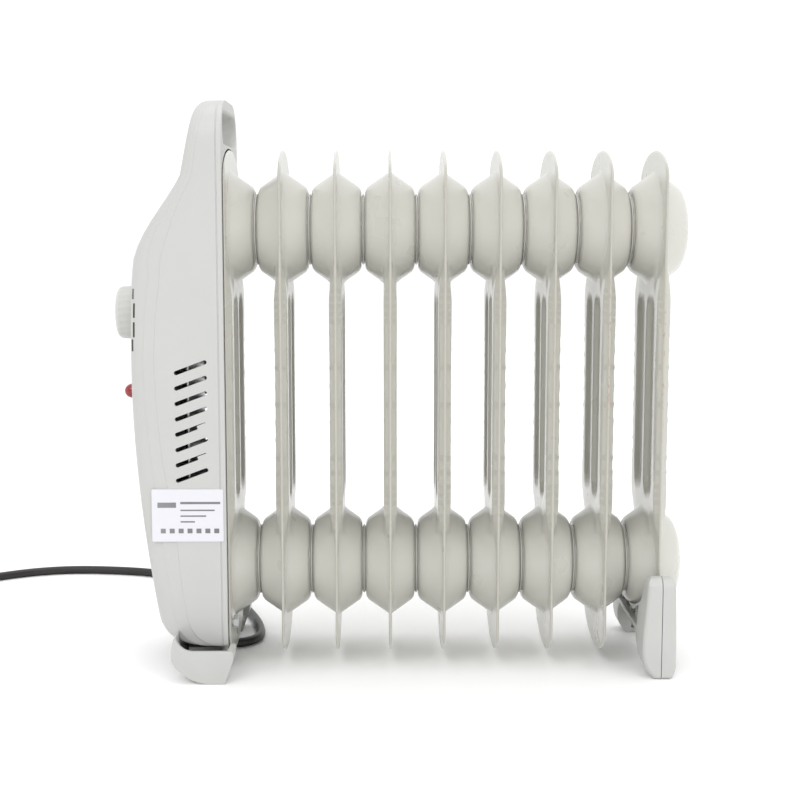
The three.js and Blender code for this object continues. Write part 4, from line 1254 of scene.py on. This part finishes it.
def add_rear_foot():
    slot = "foot_plastic"
    low, high = box_mm("rear_foot_inner_half")
    right = box_mm("rear_foot_outer_half")[1].x
    half, top = high.y, high.z
    arch = prism_along(rear_arch_outline(half, top), "X", low.x - 2, right + 2)
    piece = add_piece("rear_foot", *arch, slot)
    side = rear_side_outline(low.x, right, top)
    combine(piece, "INTERSECT", rounded_prism_y(side, -half, half, 3.0, 6))
    last_low, _ = box_mm("fin_9")
    fin_x = last_low.x + NECK_REACH
    web_low, web_high = REAR_WEB
    web_x = low.x + 11
    channel = [
        (-38, web_low + 3), (38, web_low + 3), (38, web_high - 2), (20, web_high - 10),
        (-20, web_high - 10), (-38, web_high - 2),
    ]
    combine(piece, "DIFFERENCE", prism_along(channel, "X", low.x - 5, web_x))
    rib_x, rib_z = (low.x + 2.5, web_x + 0.5), (web_low + 1, web_high - 9)
    ribs = [block(*rib_x, y - 0.9, y + 0.9, *rib_z) for y in (-22, 0, 22)]
    combine(piece, "UNION", *ribs)
    flank = [(r + FIN_CLEARANCE, x) for r, x in CHAMBER_FLANK if x > 0 and r > 26]
    room = [
        (0.01, fin_x - 32), (20, fin_x - 32), *[(r, fin_x - x) for r, x in flank],
        *[(r, fin_x + x) for r, x in reversed(flank)], (22, fin_x + 32), (0.01, fin_x + 32),
    ]
    combine(piece, "DIFFERENCE", turned(room, (0, 0, LOWER_CHAMBER_Z), 72))
    plate_y = FIN_HALF_WIDTH + FIN_CLEARANCE
    plate = block(fin_x - 2.1, fin_x + 2.1, -plate_y, plate_y, 4, 100)
    combine(piece, "DIFFERENCE", plate)
    split_rear_foot(piece, slot, half)


def split_rear_foot(piece, slot, half):
    """Two half shells that meet at a fine seam."""
    seam = 0.22
    other = put("rear_foot_outer_shell", piece.data.copy())
    piece.name = "rear_foot_inner_shell"
    width = half + 5
    combine(piece, "DIFFERENCE", block(REAR_SEAM_X - seam, 230, -width, width, -5, 120))
    combine(other, "DIFFERENCE", block(100, REAR_SEAM_X + seam, -width, width, -5, 120))
    settle(piece, slot, "rear_foot_inner_half")
    settle(other, slot, "rear_foot_outer_half")


add_front_foot()
add_rear_foot()

# ---- kept CAD nodes

KEPT = {
    "brass": ("oil_filler_plug", "element_flange", "earth_screw"),
    "stainless": ("heating_element",),
    "ceramic": ("thermostat_body", "indicator_lamp"),
    "phenolic": ("thermal_cutout", "terminal_block"),
    "brown_lead": ("live_lead",),
    "blue_lead": ("neutral_lead",),
    "green_lead": ("earth_lead",),
}


def finish_kept_nodes():
    """Every CAD node that still shows gets its procedural material."""
    by_node = {name: slot for slot, names in KEPT.items() for name in names}
    for name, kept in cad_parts.items():
        if kept.hide_render:
            continue
        kept.data.materials.clear()
        kept.data.materials.append(MATERIALS[by_node.get(name, "zinc_steel")])


finish_kept_nodes()

# ---- studio

WHITE = (0.94, 0.94, 0.94)
FLOOR_RADIUS = 30000.0


def add_floor():
    """A pale round floor so wide that its edge is at the horizon."""
    count = 64
    angles = [2 * math.pi * i / count for i in range(count)]
    rim = [(FLOOR_RADIUS * math.cos(a), FLOOR_RADIUS * math.sin(a), 0) for a in angles]
    MATERIALS["floor"] = plain_material(
        "floor", WHITE, 0.7, spread=0.005, grain=300, depth=0.00002, patches=3)
    add_piece("studio_floor", rim, [tuple(range(count))], "floor")


LIGHT_TARGET = Vector((0, 0, 0.19))


def add_light(name, spot, size, watts):
    """A soft box at a spot in metres, aimed at the heater."""
    data = bpy.data.lights.new(name, "AREA")
    data.shape = "RECTANGLE"
    data.size, data.size_y = size
    data.energy = watts
    light = put(name, data)
    light.location = spot
    aim = LIGHT_TARGET - Vector(spot)
    light.rotation_euler = aim.to_track_quat("-Z", "Y").to_euler()


def add_world():
    world = bpy.data.worlds.new("studio")
    world.use_nodes = True
    background = world.node_tree.nodes["Background"]
    background.inputs["Color"].default_value = (1.0, 1.0, 1.0, 1)
    background.inputs["Strength"].default_value = 1.12
    bpy.context.scene.world = world


add_floor()
add_world()
bpy.context.scene.view_settings.view_transform = "Standard"
add_light("key_softbox", (-0.9, -1.9, 2.0), (1.2, 0.9), 12)
add_light("fill_softbox", (1.7, -1.6, 1.1), (0.5, 1.2), 3)
add_light("top_softbox", (0.1, 0.1, 2.3), (1.8, 1.2), 9)
add_light("strip_light", (0.75, -1.5, 0.95), (0.05, 0.45), 2.5)
